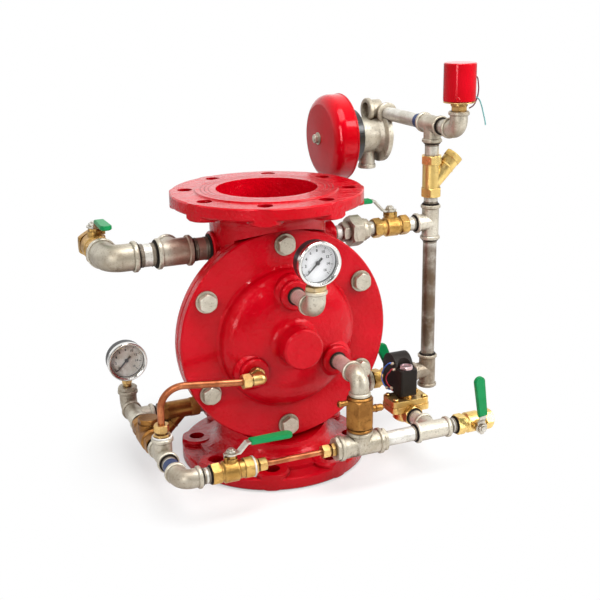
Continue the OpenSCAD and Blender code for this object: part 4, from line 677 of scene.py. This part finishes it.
# %% Tape
BLUE_TAPE = moulded("blue_tape", (0.012, 0.025, 0.075), (0.02, 0.05, 0.16), rough=0.4, grain=0.6)
WHITE_TAPE = moulded("white_tape", (0.80, 0.79, 0.76), (0.66, 0.64, 0.60), rough=0.5, grain=0.8)


def band(width, thick):
    crests = [(PIPE_R + thick * (1 if i % 2 else 0.7), width * i / 4) for i in range(5)]
    return turned("tape_pattern", [(PIPE_R - 0.3, 0)] + crests + [(PIPE_R - 0.3, width)])


wide, narrow = band(13, 0.7), band(2.2, 1.6)
joined("blue_tape_wraps", [copied(wide, "wrap", facing((277, 31, 495), "+y")),
                           copied(wide, "wrap", facing((-203, -142, 72.5), "+y"))],
       "valve", BLUE_TAPE)
joined("white_tape_wraps", [copied(narrow, "wrap", facing((277, 0, 315), "-z")),
                            copied(narrow, "wrap", facing((-203, -92, 100.5), "+z", 1.15)),
                            copied(narrow, "wrap", facing((-101.2, -178, 72.5), "+x", 1.2))],
       "valve", WHITE_TAPE)
for pattern in (wide, narrow):
    bpy.data.objects.remove(pattern)

# %% [markdown]
# The coil's two leads leave it through short cream sleeves, and another one sits near the far end of each.

# %% Lead sleeves
SLEEVE_SECTION = [(0.6, 0), (1.9, 0), (2.1, 0.6), (2.1, 3.6), (1.7, 4.6), (0.6, 4.6)]
SLEEVES = [((168.6, -89, 139), "-x"), ((168.6, -84, 147), "-x"),
           ((163, -86, 109), "-y"), ((161.5, -74, 105), "-y")]

sleeve = turned("sleeve_pattern", SLEEVE_SECTION, steps=20)
joined("lead_sleeves", [copied(sleeve, "sleeve", facing(place, way)) for place, way in SLEEVES],
       "valve", CREAM_SLEEVE)
bpy.data.objects.remove(sleeve)

# %% [markdown]
# The dials carry a plain scale: short and long strokes over three quarters of a circle, and even numbers.
# A stroke is a flattened cube, and the numbers are text turned into meshes. They lie a hair above the dial
# so that they don't flicker with its face. Lengths on the dial are in mm.

# %% Dial print
DIAL_DEPTH, PRINT_LIFT = 8 * MM, 0.12 * MM
STROKES, LONG_EVERY = 40, 5
SWEEP_START, SWEEP = math.radians(225), math.radians(270)
STROKE_OUTER, STROKE_HEIGHT = 24.6, 0.1
LONG_INNER, LONG_WIDTH = 20.5, 0.75
SHORT_INNER, SHORT_WIDTH = 22.3, 0.35
NUMBER_RADIUS, NUMBER_SIZE, NUMBER_BOLDNESS = 16.6, 5.2, 0.03


def stroke(inner, width, angle):
    alone()
    bpy.ops.mesh.primitive_cube_add(size=1)
    mark = bpy.context.object
    shape = Matrix.Diagonal(((STROKE_OUTER - inner) * MM, width * MM, STROKE_HEIGHT * MM, 1))
    mark.data.transform(shape)
    mark.data.transform(Matrix.Translation(((STROKE_OUTER + inner) / 2 * MM, 0, 0)))
    mark.data.transform(Matrix.Rotation(angle, 4, "Z"))
    return mark


def number(words, place):
    alone()
    bpy.ops.object.text_add()
    text = bpy.context.object.data
    text.body, text.size = words, NUMBER_SIZE * MM
    text.offset = NUMBER_BOLDNESS * text.size
    text.align_x, text.align_y = "CENTER", "CENTER"
    text.resolution_u = 2
    bpy.ops.object.convert(target="MESH")
    piece = bpy.context.object
    piece.data.transform(Matrix.Translation(place))
    return piece


def dial_print(gauge_name, centre):
    marks = []
    for i in range(STROKES + 1):
        angle = SWEEP_START - SWEEP * i / STROKES
        if i % LONG_EVERY:
            marks.append(stroke(SHORT_INNER, SHORT_WIDTH, angle))
        else:
            marks.append(stroke(LONG_INNER, LONG_WIDTH, angle))
            spot = Vector((math.cos(angle), math.sin(angle), 0)) * NUMBER_RADIUS * MM
            marks.append(number(str(2 * i // LONG_EVERY), spot))
    upright = Matrix.Rotation(math.pi / 2, 4, "X")
    where = Matrix.Translation(centre + Vector((0, DIAL_DEPTH - PRINT_LIFT, 0))) @ upright
    for mark in marks:
        mark.data.transform(where)
    joined(gauge_name + "_print", marks, "valve", PRINT_BLACK)


for name, centre in GAUGES.items():
    dial_print(name, centre)

# %% [markdown]
# The stage is a pale floor under soft light. A large softbox stands on the right, a narrow one on the left
# and a wide one hangs above, and a small one in front sets sparks on the lumps of the paint. To the camera
# the floor glows white from a little way out, so that the shadow fades round the foot as on a cut-out.
# Metal and paint mirror a sky that is bright behind the valve and dark behind the camera, which keeps the
# red deep.

# %% Floor, sky and lamps
FLOOR_SIZE, FLOOR_GAP = 60, 0.2 * MM
SHADOW_REACH = 0.17, 0.34
FOOT_GLOW, MIRRORED_GLOW = 0.5, 0.14
DARK_SKY, BRIGHT_SKY, SOFT_SKY = 0.05, 1.1, 0.27
# Each lamp: its place, its width and height in metres, and its power in watts.
LAMPS = {
    "right_softbox": ((1.5, -1.3, 1.35), 0.9, 1.4, 42),
    "left_strip": ((-1.35, -1.3, 0.95), 0.3, 1.3, 16),
    "top_softbox": ((0.1, -0.5, 1.9), 1.3, 0.9, 24),
    "front_spark": ((-0.35, -2.0, 1.3), 0.09, 0.09, 2),
}

alone()
bpy.ops.mesh.primitive_plane_add(size=FLOOR_SIZE)
floor = bpy.context.object
floor.name = "floor"
floor.data.transform(Matrix.Translation((0, 0, cad_low.z - FLOOR_GAP)))
paper = Finish("floor_paper", roughness=0.7, specular_ior_level=0.1)
paper.set(base_color=paper.mix(paper.ray("Is Diffuse Ray"), (0.88, 0.87, 0.87), (0.5, 0.48, 0.48)))
glow = paper.tree.nodes.new("ShaderNodeEmission")
out_from_foot = paper.node("ShaderNodeVectorMath", {"operation": "LENGTH"}, {0: paper.here()}, "Value")
fade = out_from_foot.above(*SHADOW_REACH) * (1 - FOOT_GLOW) + FOOT_GLOW
share = paper.ray("Is Camera Ray") * fade + paper.ray("Is Glossy Ray") * MIRRORED_GLOW
coat(floor, paper.blended(share, paper.shader, glow))

world = bpy.data.worlds.new("studio")
bpy.context.scene.world = world
world.use_nodes = True
sky = Shading(world.node_tree)
backdrop = sky.tree.nodes["Background"]
backdrop.inputs["Color"].default_value = (1, 1, 1, 1)
behind_valve = sky.part(sky.node("ShaderNodeTexCoord", outlet="Generated"), "Y").above(-0.7, 0.5)
seen, reflected = sky.ray("Is Camera Ray"), sky.ray("Is Glossy Ray")
mirrored = reflected * (behind_valve * BRIGHT_SKY + DARK_SKY)
soft = (1 - seen) * (1 - reflected) * SOFT_SKY
sky.tree.links.new((seen + mirrored + soft).socket, backdrop.inputs["Strength"])

for name, (place, width, height, power) in LAMPS.items():
    alone()
    bpy.ops.object.light_add(type="AREA", location=place)
    lamp = bpy.context.object
    lamp.name = name
    lamp.data.shape = "RECTANGLE"
    lamp.data.size, lamp.data.size_y, lamp.data.energy = width, height, power
    lamp.rotation_euler = (TARGET - lamp.location).to_track_quat("-Z", "Y").to_euler()
bpy.context.scene.view_settings.view_transform = "Standard"
print("lamps", sorted(LAMPS))
